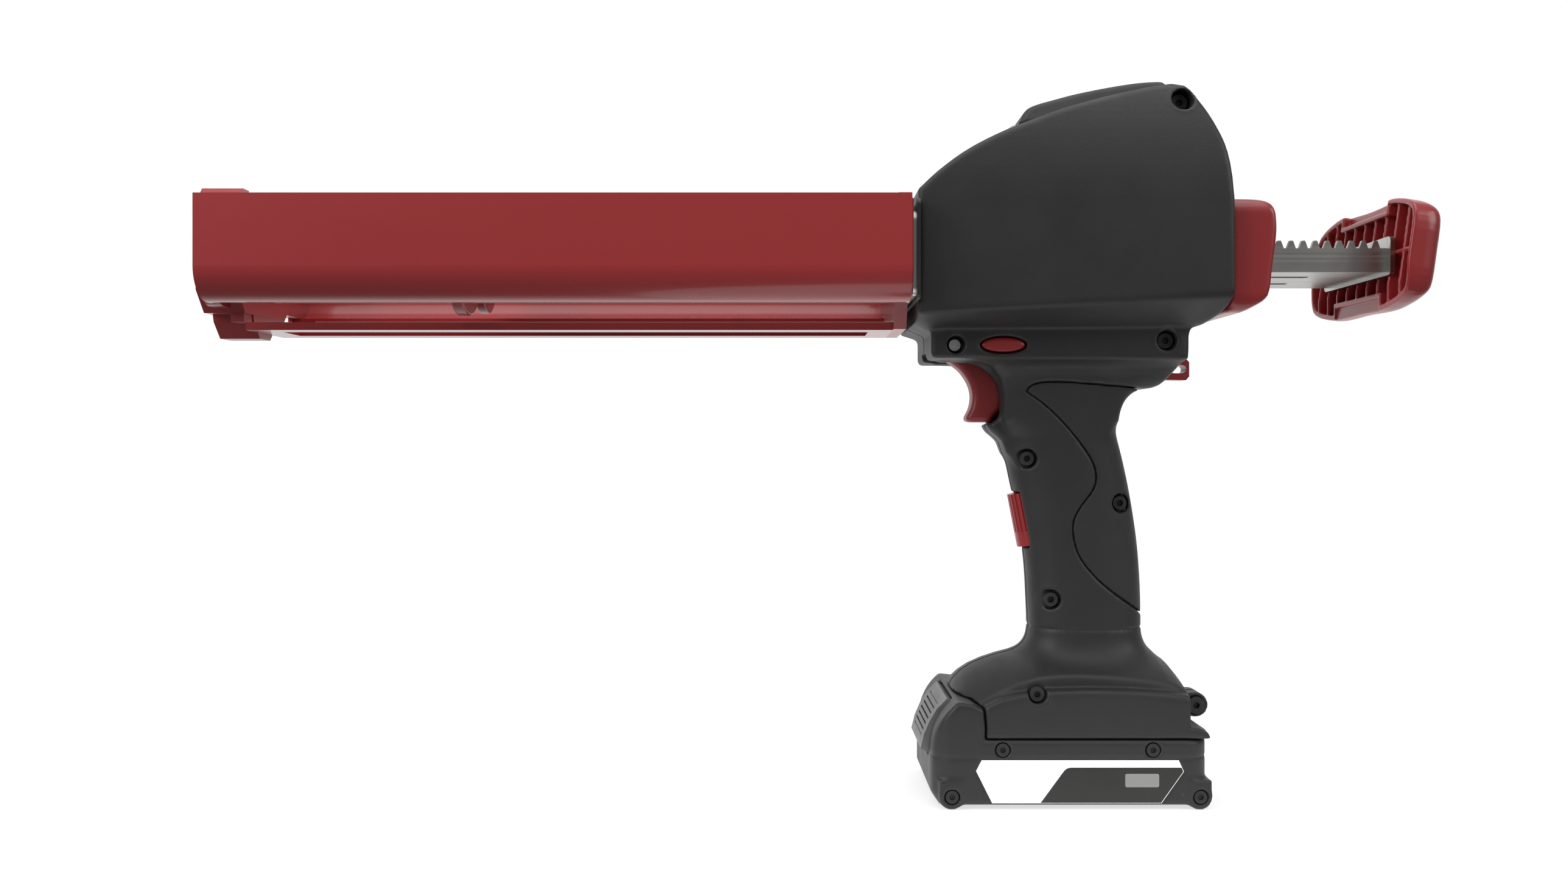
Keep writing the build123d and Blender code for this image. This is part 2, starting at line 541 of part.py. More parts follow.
grip_out = grip_body(0.0)
grip_pad_in = grip_body(1.3)
grip_in = grip_body(2.8)
beak = side(mixed([[(-30.7, 158.4), (-29.3, 155.7), (-26.6, 153.4), (-23.9, 152.1)], [(-23.9, 152.1), (-19.0, 148.0)], [(-19.0, 148.0), (-16.0, 158.4)], [(-16.0, 158.4), (-30.7, 158.4)]]), -9.0, 9.0)

# base over the battery
base_pts = [(-35.0, 28.9), (-34.7, 33.0), (-35.4, 41.2), (-40.1, 43.7), (-46.0, 44.3), (-44.5, 47.9), (-41.2, 51.3), (-36.8, 54.2), (-31.0, 56.7), (-25.0, 58.6), (-17.5, 61.6), (-12.2, 65.0),
            (37.0, 65.0), (41.0, 60.0), (46.0, 57.0), (49.1, 52.0), (49.1, 33.1), (53.0, 33.1), (56.2, 31.6), (57.5, 28.9)]
base_out = side(poly(base_pts), -36.0, 36.0)
base_prof = [(-36.0, 28.0), (-36.0, 46.0), (-34.6, 50.2), (-30.0, 54.0), (-24.0, 57.2), (-20.4, 60.6), (-18.9, 65.0)]
base_prof = base_prof + [(-y, z) for y, z in reversed(base_prof)]
base_out = base_out & front(poly(base_prof), -80.0, 80.0)
base_out = soften(base_out, base_out.edges().filter_by(Axis.Z).group_by(Axis.X)[-1], (2.0, 1.0))
bin_pts = [(-31.6, 20.0), (-31.6, 44.6), (-37.6, 47.0), (-38.0, 48.2), (-33.0, 52.3), (-25.0, 55.4), (-9.6, 60.0), (-9.2, 66.0), (34.0, 66.0), (35.6, 58.0), (42.0, 55.0), (46.1, 50.2), (46.1, 20.0)]
base_in = side(poly(bin_pts), -33.2, 33.2)
bprof_in = [(-33.2, 20.0), (-33.2, 45.4), (-31.0, 48.6), (-27.0, 51.4), (-21.0, 54.6), (-16.4, 58.6), (-15.6, 66.0)]
bprof_in = bprof_in + [(-y, z) for y, z in reversed(bprof_in)]
base_in = base_in & front(poly(bprof_in), -80.0, 80.0)
boss_out = cyl_y(59.7, 37.4, 5.2, -7.0, 7.0) + box(48.0, 59.7, -7.0, 7.0, 33.1, 42.4)

outer = up_out + band_out + grip_out + beak + base_out + boss_out
inner = up_in + band_in + grip_in + base_in
shell = outer - inner

# screw towers joining the halves: x, z, tower radius, outer |Y|, bore radius, head radius
TOWERS = [(-14.4, 143.7, 5.2, 16.6, 4.1, 2.9), (25.7, 124.7, 5.2, 14.2, 4.1, 2.9), (-4.5, 83.8, 5.2, 17.8, 4.1, 2.9),
          (40.7, 192.9, 5.4, 30.0, 4.1, 3.2), (44.4, 290.2, 5.6, 36.6, 4.5, 3.4), (-13.7, 46.9, 5.0, 36.0, 3.7, 3.0), (59.7, 37.4, 5.0, 7.0, 3.9, 3.7)]
towers = None
for x, z, rt, yo, rb_, rh in TOWERS:
    t = cyl_y(x, z, rt, -yo - 4.0, yo + 4.0)
    towers = t if towers is None else towers + t
pin_boss = cyl_y(PIVOT[0], PIVOT[1], 5.2, -29.0, -8.0) + cyl_y(PIVOT[0], PIVOT[1], 5.2, 8.0, 29.0)
shell = shell + ((towers + pin_boss) & outer)

screws = []
for x, z, rt, yo, rb_, rh in TOWERS:
    deep = 5.0 if yo > 10 else 1.4
    bore = rb_
    shell -= cyl_y(x, z, bore, -yo - 6.0, -yo + deep)
    shell -= cyl_y(x, z, 1.75, -yo, min(yo - 4.0, 10.0) if yo > 10 else 5.4)
    hd = cyl_y(x, z, rh, -yo + deep - 2.6 if yo > 10 else -yo - 1.2, -yo + deep)
    hd -= side(Pos(x, z, 0) * RegularPolygon(1.5, 6), -yo - 4.0, -yo + deep - 1.2)
    sc = hd + cyl_y(x, z, 1.7, -yo + deep - 0.4, min(yo - 5.0, 9.0) if yo > 10 else 5.0)
    screws.append(sc)
save("housing_screws", group(*screws))

# trigger slot, pivot bores and recesses
shell -= box(-70.0, -13.0, -7.4, 7.4, 158.7, 197.0)
shell -= cyl_y(PIVOT[0], PIVOT[1], PIN_R + 0.02, -40.0, 40.0)
shell -= cyl_y(PIVOT[0], PIVOT[1], 3.6, -34.0, -25.0)
shell -= cyl_y(PIVOT[0], PIVOT[1], 3.6, 25.0, 34.0)
save("trigger_pivot_pin", cyl_y(PIVOT[0], PIVOT[1], PIN_R, -25.6, 25.6))

# dial window
dial_loc = Pos(DIAL_C[0], 0, DIAL_C[1]) * Rot(0, -DIAL_TILT, 0)
shell -= dial_loc * Cylinder(DIAL_R + 0.6, DIAL_L + 1.2)

# front mouth for the socket and rear mouth for the rack
shell -= front(rr(0, 228.5, 89.2, 37.2, 4.0), -66.0, -51.0)
shell -= box(55.0, 70.0, -32.5, 32.5, 218.0, 238.0)

# manual button pocket on the left of the band
BTN = (-27.0, 191.0)


def lens(cx, cz, l, h):
    a, b = l / 2, h / 2
    return mixed([[(cx - a, cz), (cx - a * 0.62, cz + b * 0.72), (cx, cz + b), (cx + a * 0.62, cz + b * 0.72), (cx + a, cz)],
                  [(cx + a, cz), (cx + a * 0.62, cz - b * 0.72), (cx, cz - b), (cx - a * 0.62, cz - b * 0.72), (cx - a, cz)]])


shell -= side(lens(BTN[0], BTN[1], 19.4, 7.2), -34.0, -24.0)

# release lever slot at the rear of the band
shell -= box(38.0, 60.0, -4.6, 4.6, 176.5, 188.2)
shell -= cyl_y(44.2, 182.8, 1.52, -14.1, 14.1)

# battery mouth below the base and the entry for its rail block
shell -= box(-45.0, 46.1, -33.2, 33.2, 20.0, 31.0)
shell -= box(-60.0, -20.0, -25.6, 25.6, 20.0, 38.6)

# recess for the soft pad
PADF = [[(-16.2, 173.7), (-12.2, 176.1), (-3.4, 176.6), (12.5, 175.4), (30.0, 174.4)], [(30.0, 174.4), (60.0, 172.0)], [(60.0, 172.0), (60.0, 70.0)], [(60.0, 70.0), (36.0, 76.6)],
        [(36.0, 76.6), (33.5, 78.4), (21.3, 86.8), (13.4, 93.8), (7.2, 101.8), (4.6, 109.7), (4.4, 116.8), (7.2, 123.0), (12.9, 130.9), (14.1, 137.1), (11.6, 144.1), (3.7, 154.7), (-6.9, 165.3), (-16.2, 173.7)]]
pad_zone = side(mixed(PADF), -40.0, 40.0) & box(-20.0, 45.0, -40.0, 40.0, 70.0, 171.6)
pad = (grip_out - grip_pad_in) & pad_zone
shell -= pad
for x, z, rt, yo, rb_, rh in TOWERS[:3]:
    pad -= cyl_y(x, z, rb_, -yo - 6.0, 0.0)
save("rear_grip_pad", pad)

# top hump
hump_pts = [(-18.3, 286.0), (-15.7, 291.2), (-11.8, 294.0), (-2.0, 296.8), (6.1, 298.9), (18.0, 301.3), (29.9, 303.2), (40.5, 304.0), (44.4, 302.4), (46.6, 297.2)]
hump = side(mixed([hump_pts, [hump_pts[-1], (40.0, 290.0)], [(40.0, 290.0), (-12.0, 279.0)], [(-12.0, 279.0), hump_pts[0]]]), -23.0, 23.0)
hump = hump - up_out
hump = max(hump.solids(), key=lambda q: q.volume)
hump = soften(hump, hump.edges().filter_by(Axis.Y).sort_by(Axis.Z)[-1:], (1.0,))
save("top_cover", hump)
lensy = side(poly([(-23.6, 281.0), (-23.4, 284.4), (-19.2, 287.4), (-17.4, 287.4), (-16.0, 281.0)]), -7.0, 7.0) - up_out - hump
save("led_lens", max(lensy.solids(), key=lambda q: q.volume))

left = shell & box(-200, 200, -100, 0, -10, 400)
right = shell & box(-200, 200, 0, 100, -10, 400)
save("left_housing_shell", max(left.solids(), key=lambda q: q.volume))
save("right_housing_shell", max(right.solids(), key=lambda q: q.volume))

# rear cap
CAPO = [(63.5, 251.5), (71.1, 251.3), (78.6, 250.1), (81.3, 248.0), (82.5, 244.8), (82.9, 240.3), (82.6, 234.0), (80.9, 222.0), (80.0, 213.4), (77.5, 208.4), (70.0, 203.2), (63.5, 203.2)]
rc = side(poly(CAPO), -41.0, 41.0)
rc = rc & front(rr(0, 227.4, 82.0, 48.4, 7.0), 60.0, 90.0)
rc = soften(rc, rc.edges().filter_by(Axis.Y).sort_by(Axis.X)[-4:], (1.2, 0.6))
rc -= box(60.0, 77.0, -38.0, 38.0, 206.5, 248.0) & front(rr(0, 227.4, 76.0, 42.4, 5.0), 60.0, 90.0)
rc -= box(60.0, 90.0, -31.0, 31.0, 219.6, 236.2)
save("rear_cap", max(rc.solids(), key=lambda q: q.volume))

# ---------------------------------------------------------------- controls
trig = side(mixed([[(-51.0, 189.0), (-48.8, 186.6)], [(-48.8, 186.6), (-41.4, 181.3), (-37.5, 175.3), (-36.6, 170.9), (-37.5, 165.7), (-39.2, 161.3)], [(-39.2, 161.3), (-38.6, 159.6), (-37.0, 159.2)],
                   [(-37.0, 159.2), (-28.4, 159.2)], [(-28.4, 159.2), (-26.6, 161.8), (-23.6, 164.8)], [(-23.6, 164.8), (-21.6, 170.0), (-20.6, 176.0)],
                   [(-20.6, 176.0), (-22.0, 183.0)], [(-22.0, 183.0), (-33.0, 190.0)], [(-33.0, 190.0), (-42.0, 193.5)], [(-42.0, 193.5), (-51.0, 189.0)]]), -TRIG_Y, TRIG_Y)
trig += cyl_y(PIVOT[0], PIVOT[1], 5.0, -TRIG_Y, TRIG_Y)
trig -= cyl_y(PIVOT[0], PIVOT[1], PIN_R + 0.05, -20.0, 20.0)
save("trigger", trig)
sw = box(-12.6, 12.0, -9.0, 9.0, 163.0, 184.0) + cyl_x(0, 176.0, 2.0, -14.0, -12.5)
save("trigger_switch", sw)

dial = dial_loc * Cylinder(DIAL_R, DIAL_L)
for i in range(24):
    a = 2 * math.pi * i / 24
    dial -= dial_loc * Pos(DIAL_R * math.cos(a), DIAL_R * math.sin(a), 3.4) * Cylinder(0.45, DIAL_L - 6.0)
dial -= dial_loc * Cylinder(1.9, DIAL_L + 2)
save("speed_dial", dial)
pot = dial_loc * (Pos(0, 0, DIAL_L / 2 + 3.6) * Cylinder(3.1, 6.0) + Cylinder(1.85, DIAL_L + 1.4) + Pos(0, 0, -DIAL_L / 2 - 2.0) * Cylinder(2.6, 2.6))
save("dial_potentiometer", pot)

btn = side(lens(BTN[0], BTN[1], 18.4, 6.2), -30.4, -24.0)
flange = side(lens(BTN[0], BTN[1], 20.8, 8.4), -26.9, -25.6)
btn += flange & side(poly([(-50.0, 189.2), (-50.0, 202.0), (0.0, 202.0), (0.0, 184.0), (-24.0, 184.0), (-33.2, 189.2)]), -30.0, -20.0)
btn += cyl_y(BTN[0], BTN[1], 2.2, -24.2, -19.0)
save("manual_button", btn)

lev = side(poly([(41.0, 178.6), (44.0, 177.8), (56.4, 177.6), (57.8, 179.2), (57.8, 185.4), (56.2, 187.1), (48.0, 187.1), (41.0, 186.4)]), -4.1, 4.1)
lev = soften(lev, lev.edges().filter_by(Axis.Y).group_by(Axis.X)[-1], (1.0,))
lev -= side(Pos(53.0, 182.4, 0) * SlotOverall(7.0, 3.6), -10, 10)
lev -= cyl_y(44.2, 182.8, 1.55, -10, 10)
save("release_lever", lev)
save("release_lever_pin", cyl_y(44.2, 182.8, 1.5, -14.0, 14.0))

# ---------------------------------------------------------------- battery interface
rail = None
for s in (-1, 1):
    a0, a1 = sorted((s * 22.0, s * 32.9))
    b0, b1 = sorted((s * 25.4, s * 32.9))
    r_ = box(-28.0, 45.6, a0, a1, 29.6, 33.7) + box(-28.0, 45.6, b0, b1, 33.6, 41.0)
    rail = r_ if rail is None else rail + r_
rail += box(-28.0, 45.6, -32.9, 32.9, 40.6, 42.6)
rail -= cyl_y(-13.7, 46.9, 5.4, -40, 40)
for y in (-12.0, 0.0, 12.0):
    rail -= box(18.0, 43.2, y - 0.6, y + 0.6, 30.0, 44.0)
save("battery_rail_frame", rail)
save("terminal_blades", group(*[box(20.0, 42.0, y - 0.4, y + 0.4, 32.6, 44.0) for y in (-12.0, 0.0, 12.0)]))

# ---------------------------------------------------------------- battery
bp_low = [(BAT_X0, 5.0), (BAT_X0, 19.4), (-57.7, 21.6), (57.5, 21.6), (57.5, 1.8), (-56.0, 1.8)]
bp_up = [[(-57.7, 21.6), (-57.2, 26.0), (-55.8, 31.6), (-52.6, 37.8), (-49.0, 41.8), (-46.4, 43.9)], [(-46.4, 43.9), (-40.3, 43.3)], [(-40.3, 43.3), (-35.8, 40.9)], [(-35.8, 40.9), (-35.1, 32.8)], [(-35.1, 32.8), (-35.3, 28.6)],
         [(-35.3, 28.6), (57.5, 28.6)], [(57.5, 28.6), (57.5, 21.6)], [(57.5, 21.6), (-57.7, 21.6)]]
plan_bat = rr(-0.2, 0, 115.4, 73.0, 7.0)
case_plan = plan(plan_bat, -5.0, 60.0)
lower = side(poly(bp_low), -BAT_Y, BAT_Y) & case_plan
for x in (-49.0, 53.0):
    for s in (-1, 1):
        a0, a1 = sorted((s * 26.0, s * BAT_Y))
        f = cyl_y(x, 5.1, 5.1, a0, a1)
        lower += f & box(-70, 70, -BAT_Y, BAT_Y, 0.0, 20.0)
lower += plan(rr(0, 0, 20.0, 16.0, 2.0), 0.0, 2.5)
lower -= plan(rr(0, 0, 108.0, 66.0, 4.0), 4.0, 30.0)
lab = poly([(-37.4, 20.8), (44.2, 20.8), (46.3, 15.9), (37.0, 2.4), (-33.0, 2.4), (-39.8, 16.1)])
lower -= side(lab, -BAT_Y - 1.0, -BAT_Y + 0.6)
lower -= side(lab, BAT_Y - 0.6, BAT_Y + 1.0)
upper = side(mixed(bp_up), -BAT_Y, BAT_Y) & case_plan
upper -= plan(rr(0, 0, 106.0, 66.0, 4.0), 20.0, 26.2)
upper += box(-29.0, 44.0, -21.6, 21.6, 28.5, 34.0) + box(-29.0, 44.0, -25.0, 25.0, 34.0, 38.0)
upper -= box(-26.0, 41.5, -18.0, 18.0, 20.0, 30.6)
for y in (-12.0, 0.0, 12.0):
    upper -= box(16.0, 46.0, y - 1.2, y + 1.2, 31.6, 40.0)
# notch in the nose for the release button
ux, uz = 0.890, -0.456          # direction in which the button is pressed
NOSE = (-53.6, 31.6)
vx, vz = 0.456, 0.890           # up along the nose
P2 = lambda a, b: (NOSE[0] + a * ux + b * vx, NOSE[1] + a * uz + b * vz)
upper -= side(poly([P2(-12, -12.6), P2(7.2, -12.6), P2(7.2, 12.6), P2(-12, 12.6)]), -21.0, 21.0)
lower -= side(poly([P2(-12, -12.6), P2(7.2, -12.6), P2(7.2, 12.6), P2(-12, 12.6)]), -21.0, 21.0)
BSC = [(-28.2, 24.4), (33.5, 24.4), (-49.0, 5.1), (53.0, 5.1)]
bscr = []
for x, z in BSC:
    for s in (-1, 1):
        cut0, cut1 = sorted((s * (BAT_Y - 2.4), s * (BAT_Y + 2.0)))
        upper -= cyl_y(x, z, 3.2, cut0, cut1)
        lower -= cyl_y(x, z, 3.2, cut0, cut1)
        h0, h1 = sorted((s * (BAT_Y - 2.4), s * (BAT_Y - 0.8)))
        c0, c1 = sorted((s * (BAT_Y - 1.6), s * (BAT_Y + 1.0)))
        bscr.append(cyl_y(x, z, 2.7, h0, h1) - side(Pos(x, z, 0) * RegularPolygon(1.3, 6), c0, c1))
save("battery_screws", group(*bscr))
save("battery_lower_case", max(lower.solids(), key=lambda q: q.volume))
save("battery_upper_case", max(upper.solids(), key=lambda q: q.volume))
save("battery_label_left", side(poly([(-37.0, 20.4), (43.8, 20.4), (45.9, 15.8), (36.7, 2.8), (-32.7, 2.8), (-39.3, 16.0)]), -BAT_Y + 0.1, -BAT_Y + 0.6))
save("battery_label_right", side(poly([(-37.0, 20.4), (43.8, 20.4), (45.9, 15.8), (36.7, 2.8), (-32.7, 2.8), (-39.3, 16.0)]), BAT_Y - 0.6, BAT_Y - 0.1))
save("battery_cells", group(*[cyl_y(x, 13.4, 9.15, -32.5, 32.5) for x in (-37.6, -18.8, 0.0, 18.8, 37.6)]))
save("battery_contacts", group(*[box(16.6, 41.4, y + d - 0.2, y + d + 0.2, 31.8, 37.6) for y in (-12.0, 0.0, 12.0) for d in (-0.95, 0.95)]))
# release button: ribbed plate on the nose
bt = poly([P2(-1.6, -11.9), P2(-3.0, -6.0), P2(-3.4, 0.0), P2(-3.0, 6.0), P2(-1.2, 11.9), P2(3.4, 11.9), P2(3.4, -11.9)])
rel = side(bt, -20.4, 20.4)
for b in (-7.5, -5.0, -2.5, 0.0, 2.5, 5.0, 7.5):
    rel -= side(poly([P2(-5, b - 0.55), P2(-2.3, b - 0.35), P2(-2.3, b + 0.35), P2(-5, b + 0.55)]), -14.0, 14.0)
save("battery_release_button", rel)
print("saved", len(os.listdir("parts")))
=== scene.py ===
import bpy
import bmesh
import math
import numpy as np
from mathutils import Vector, Matrix


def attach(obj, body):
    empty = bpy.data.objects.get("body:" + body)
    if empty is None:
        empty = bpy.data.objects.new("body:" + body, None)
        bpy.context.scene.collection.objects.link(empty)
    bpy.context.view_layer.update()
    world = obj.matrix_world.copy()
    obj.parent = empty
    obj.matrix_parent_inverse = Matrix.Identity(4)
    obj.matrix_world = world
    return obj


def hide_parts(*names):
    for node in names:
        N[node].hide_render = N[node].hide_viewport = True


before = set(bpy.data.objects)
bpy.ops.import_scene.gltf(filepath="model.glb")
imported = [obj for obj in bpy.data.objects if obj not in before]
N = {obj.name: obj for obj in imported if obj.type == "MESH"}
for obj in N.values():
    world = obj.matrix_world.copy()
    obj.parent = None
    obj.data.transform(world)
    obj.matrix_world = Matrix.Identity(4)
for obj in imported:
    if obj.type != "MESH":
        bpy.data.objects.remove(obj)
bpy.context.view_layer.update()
scene = bpy.context.scene
MM = 0.001


# ------------------------------------------------------------------ materials
def new_mat(name):
    m = bpy.data.materials.new(name)
    m.use_nodes = True
    nt = m.node_tree
    for n in list(nt.nodes):
        nt.nodes.remove(n)
    out = nt.nodes.new("ShaderNodeOutputMaterial")
    b = nt.nodes.new("ShaderNodeBsdfPrincipled")
    nt.links.new(b.outputs[0], out.inputs[0])
    tc = nt.nodes.new("ShaderNodeTexCoord")
    return m, nt, b, tc.outputs["Object"]


def noise(nt, co, scale, detail=3.0, rough=0.5, stretch=None):
    n = nt.nodes.new("ShaderNodeTexNoise")
    n.inputs["Scale"].default_value = scale
    n.inputs["Detail"].default_value = detail
    n.inputs["Roughness"].default_value = rough
    if stretch:
        mp = nt.nodes.new("ShaderNodeMapping")
        mp.inputs["Scale"].default_value = stretch
        nt.links.new(co, mp.inputs["Vector"])
        nt.links.new(mp.outputs[0], n.inputs["Vector"])
    else:
        nt.links.new(co, n.inputs["Vector"])
    return n.outputs["Fac"]


def ramp(nt, fac, c0, c1, p0=0.3, p1=0.7):
    r = nt.nodes.new("ShaderNodeValToRGB")
    r.color_ramp.elements[0].position = p0
    r.color_ramp.elements[1].position = p1
    r.color_ramp.elements[0].color = (*c0, 1)
    r.color_ramp.elements[1].color = (*c1, 1)
    nt.links.new(fac, r.inputs[0])
    return r.outputs[0]


def remap(nt, fac, a, b, f0=0.3, f1=0.7):
    r = nt.nodes.new("ShaderNodeMapRange")
    r.inputs["From Min"].default_value = f0
    r.inputs["From Max"].default_value = f1
    r.inputs["To Min"].default_value = a
    r.inputs["To Max"].default_value = b
    nt.links.new(fac, r.inputs["Value"])
    return r.outputs[0]


def bump(nt, bsdf, layers):
    prev = None
    for fac, strength, dist in layers:
        b = nt.nodes.new("ShaderNodeBump")
        b.inputs["Strength"].default_value = strength
        b.inputs["Distance"].default_value = dist
        nt.links.new(fac, b.inputs["Height"])
        if prev is not None:
            nt.links.new(prev, b.inputs["Normal"])
        prev = b.outputs[0]
    nt.links.new(prev, bsdf.inputs["Normal"])


# painted highlight mask: picks out convex edges by pointiness so their base colour can be lightened
def painted_edge_highlight_mask(nt, lo=0.52, hi=0.62):
    g = nt.nodes.new("ShaderNodeNewGeometry")
    return remap(nt, g.outputs["Pointiness"], 0.0, 1.0, lo, hi)


def mix(nt, fac, a, b):
    m = nt.nodes.new("ShaderNodeMix")
    m.data_type = "RGBA"
    nt.links.new(fac, m.inputs["Factor"])
    if isinstance(a, tuple):
        m.inputs[6].default_value = (*a, 1)
    else:
        nt.links.new(a, m.inputs[6])
    if isinstance(b, tuple):
        m.inputs[7].default_value = (*b, 1)
    else:
        nt.links.new(b, m.inputs[7])
    return m.outputs[2]


def paint_red(name, base=(0.315, 0.020, 0.022), rough=0.27, coat=0.35, grain=0.012):
    """Glossy powder coat: slight orange peel, faint tone drift, and a painted highlight that lightens the base colour
    on convex edges.
    """
    m, nt, b, co = new_mat(name)
    drift = noise(nt, co, 9.0, 4.0)
    col = ramp(nt, drift, tuple(c * 0.985 for c in base), tuple(min(1, c * 1.015) for c in base))
    # painted highlight: convex edges get a paler base colour standing in for edge highlights
    col = mix(nt, painted_edge_highlight_mask(nt, 0.56, 0.68), col, tuple(min(1, c * 1.25 + 0.012) for c in base))
    nt.links.new(col, b.inputs["Base Color"])
    smudge = noise(nt, co, 42.0, 5.0, 0.6)
    nt.links.new(remap(nt, smudge, rough - 0.01, rough + 0.03), b.inputs["Roughness"])
    b.inputs["Coat Weight"].default_value = coat
    b.inputs["Coat Roughness"].default_value = 0.09
    b.inputs["IOR"].default_value = 1.5
    peel = noise(nt, co, 950.0, 2.0)
    wave = noise(nt, co, 120.0, 2.0)
    bump(nt, b, [(wave, 0.015, 0.0003), (peel, grain * 4, 0.00012)])
    return m


def plastic(name, base=(0.0245, 0.0245, 0.0248), rough=0.50, grain=0.35, scale=3400.0, coat=0.0):
    """Moulded plastic with a fine spark-eroded grain, small gloss drift and a painted highlight that lightens the base
    colour on convex edges.
    """
    m, nt, b, co = new_mat(name)
    drift = noise(nt, co, 14.0, 4.0)
    col = ramp(nt, drift, tuple(c * 0.92 for c in base), tuple(c * 1.09 for c in base))
    # painted highlight: convex edges get a much lighter base colour standing in for edge highlights
    col = mix(nt, painted_edge_highlight_mask(nt, 0.55, 0.66), col, tuple(c * 1.7 + 0.006 for c in base))
    nt.links.new(col, b.inputs["Base Color"])
    smudge = noise(nt, co, 55.0, 5.0, 0.6)
    nt.links.new(remap(nt, smudge, rough - 0.05, rough + 0.07), b.inputs["Roughness"])
    b.inputs["Coat Weight"].default_value = coat
    b.inputs["IOR"].default_value = 1.47
    v = nt.nodes.new("ShaderNodeTexVoronoi")
    v.inputs["Scale"].default_value = scale * 0.55
    nt.links.new(co, v.inputs["Vector"])
    fine = noise(nt, co, scale, 2.0)
    bump(nt, b, [(v.outputs["Distance"], grain * 0.5, 0.00012), (fine, grain, 0.00010)])
    return m


def steel(name, base=(0.40, 0.39, 0.375), rough=0.34, along="X", strength=0.10):
    """Bright rolled steel: streaks along the rolling direction and a few cloudy patches."""
    m, nt, b, co = new_mat(name)
    st = {"X": (4.0, 900.0, 900.0), "Y": (900.0, 4.0, 900.0), "Z": (900.0, 900.0, 4.0)}[along]
    streak = noise(nt, co, 1.0, 4.0, 0.6, st)
    cloud = noise(nt, co, 60.0, 4.0, 0.6)
    col = ramp(nt, cloud, tuple(c * 0.90 for c in base), tuple(min(1, c * 1.08) for c in base))
    nt.links.new(col, b.inputs["Base Color"])
    b.inputs["Metallic"].default_value = 1.0
    nt.links.new(remap(nt, streak, rough - 0.05, rough + 0.10), b.inputs["Roughness"])
    bump(nt, b, [(streak, strength, 0.00006), (cloud, 0.03, 0.0002)])
    return m


def rubber(name, base=(0.0225, 0.0225, 0.0228)):
    m, nt, b, co = new_mat(name)
    drift = noise(nt, co, 30.0, 4.0)
    nt.links.new(ramp(nt, drift, tuple(c * 0.9 for c in base), tuple(c * 1.12 for c in base)), b.inputs["Base Color"])
    nt.links.new(remap(nt, noise(nt, co, 160.0, 4.0), 0.56, 0.68), b.inputs["Roughness"])
    b.inputs["Specular IOR Level"].default_value = 0.42
    b.inputs["Sheen Weight"].default_value = 0.08
    v = nt.nodes.new("ShaderNodeTexVoronoi")
    v.inputs["Scale"].default_value = 2100.0
    nt.links.new(co, v.inputs["Vector"])
    bump(nt, b, [(v.outputs["Distance"], 0.28, 0.00012), (noise(nt, co, 3600.0, 2.0), 0.2, 0.00008)])
    return m


def lens_mat(name):
    m, nt, b, co = new_mat(name)
    c = noise(nt, co, 400.0, 2.0)
    nt.links.new(ramp(nt, c, (0.86, 0.89, 0.92), (0.95, 0.97, 1.0)), b.inputs["Base Color"])
    b.inputs["Roughness"].default_value = 0.05
    b.inputs["IOR"].default_value = 1.49
    b.inputs["Transmission Weight"].default_value = 0.75
    bump(nt, b, [(c, 0.05, 0.0001)])
    return m


M_RED = paint_red("red_powder_coat")
M_REDP = paint_red("red_moulded_gloss", base=(0.315, 0.022, 0.024), rough=0.33, coat=0.22, grain=0.02)
M_REDT = paint_red("red_trigger_satin", base=(0.27, 0.022, 0.024), rough=0.42, coat=0.05, grain=0.05)
M_DARK = plastic("charcoal_housing_plastic")
M_DARK2 = plastic("charcoal_battery_plastic", base=(0.0255, 0.0255, 0.0258), rough=0.47)
M_BLACK = plastic("black_moulded_plastic", base=(0.012, 0.012, 0.0125), rough=0.45, grain=0.2)
M_PAD = rubber("soft_grip_rubber")
M_STEEL = steel("rolled_bright_steel")
M_STEELP = steel("stamped_plate_steel", base=(0.50, 0.49, 0.47), rough=0.26, along="Z")
M_PIN = steel("ground_pin_steel", base=(0.80, 0.785, 0.76), rough=0.46, along="Y", strength=0.05)
M_GEAR = steel("gear_steel", base=(0.30, 0.30, 0.31), rough=0.34, along="Y")
M_SCREW = plastic("black_oxide_screw", base=(0.016, 0.016, 0.016), rough=0.55, grain=0.9, scale=1600.0)
M_ALU = steel("stamped_aluminium", base=(0.62, 0.62, 0.63), rough=0.36)
M_LENS = lens_mat("clear_lens_plastic")
M_GREY = plastic("mid_grey_button_plastic", base=(0.115, 0.115, 0.118), rough=0.42, grain=0.3)
M_BRASS = steel("contact_brass", base=(0.62, 0.44, 0.18), rough=0.28)
M_CELL = plastic("cell_shrink_wrap", base=(0.02, 0.16, 0.09), rough=0.3, grain=0.1)
M_LAB_L = plastic("label_light_field", base=(0.66, 0.66, 0.69), rough=0.34, grain=0.05)
M_LAB_D = plastic("label_dark_field", base=(0.011, 0.011, 0.010), rough=0.28, grain=0.05)
M_LAB_G = plastic("label_grey_field", base=(0.20, 0.205, 0.20), rough=0.30, grain=0.05)
M_GAP = plastic("seam_shadow", base=(0.006, 0.006, 0.006), rough=0.8, grain=0.1)


def assign(mat, *names):
    for n in names:
        o = N[n]
        o.data.materials.clear()
        o.data.materials.append(mat)


def smooth_by_angle(o, deg=32.0):
    """Shade smooth with sharp edges kept where faces meet at more than deg."""
    me = o.data
    me.shade_smooth()
    me.set_sharp_from_angle(angle=math.radians(deg))


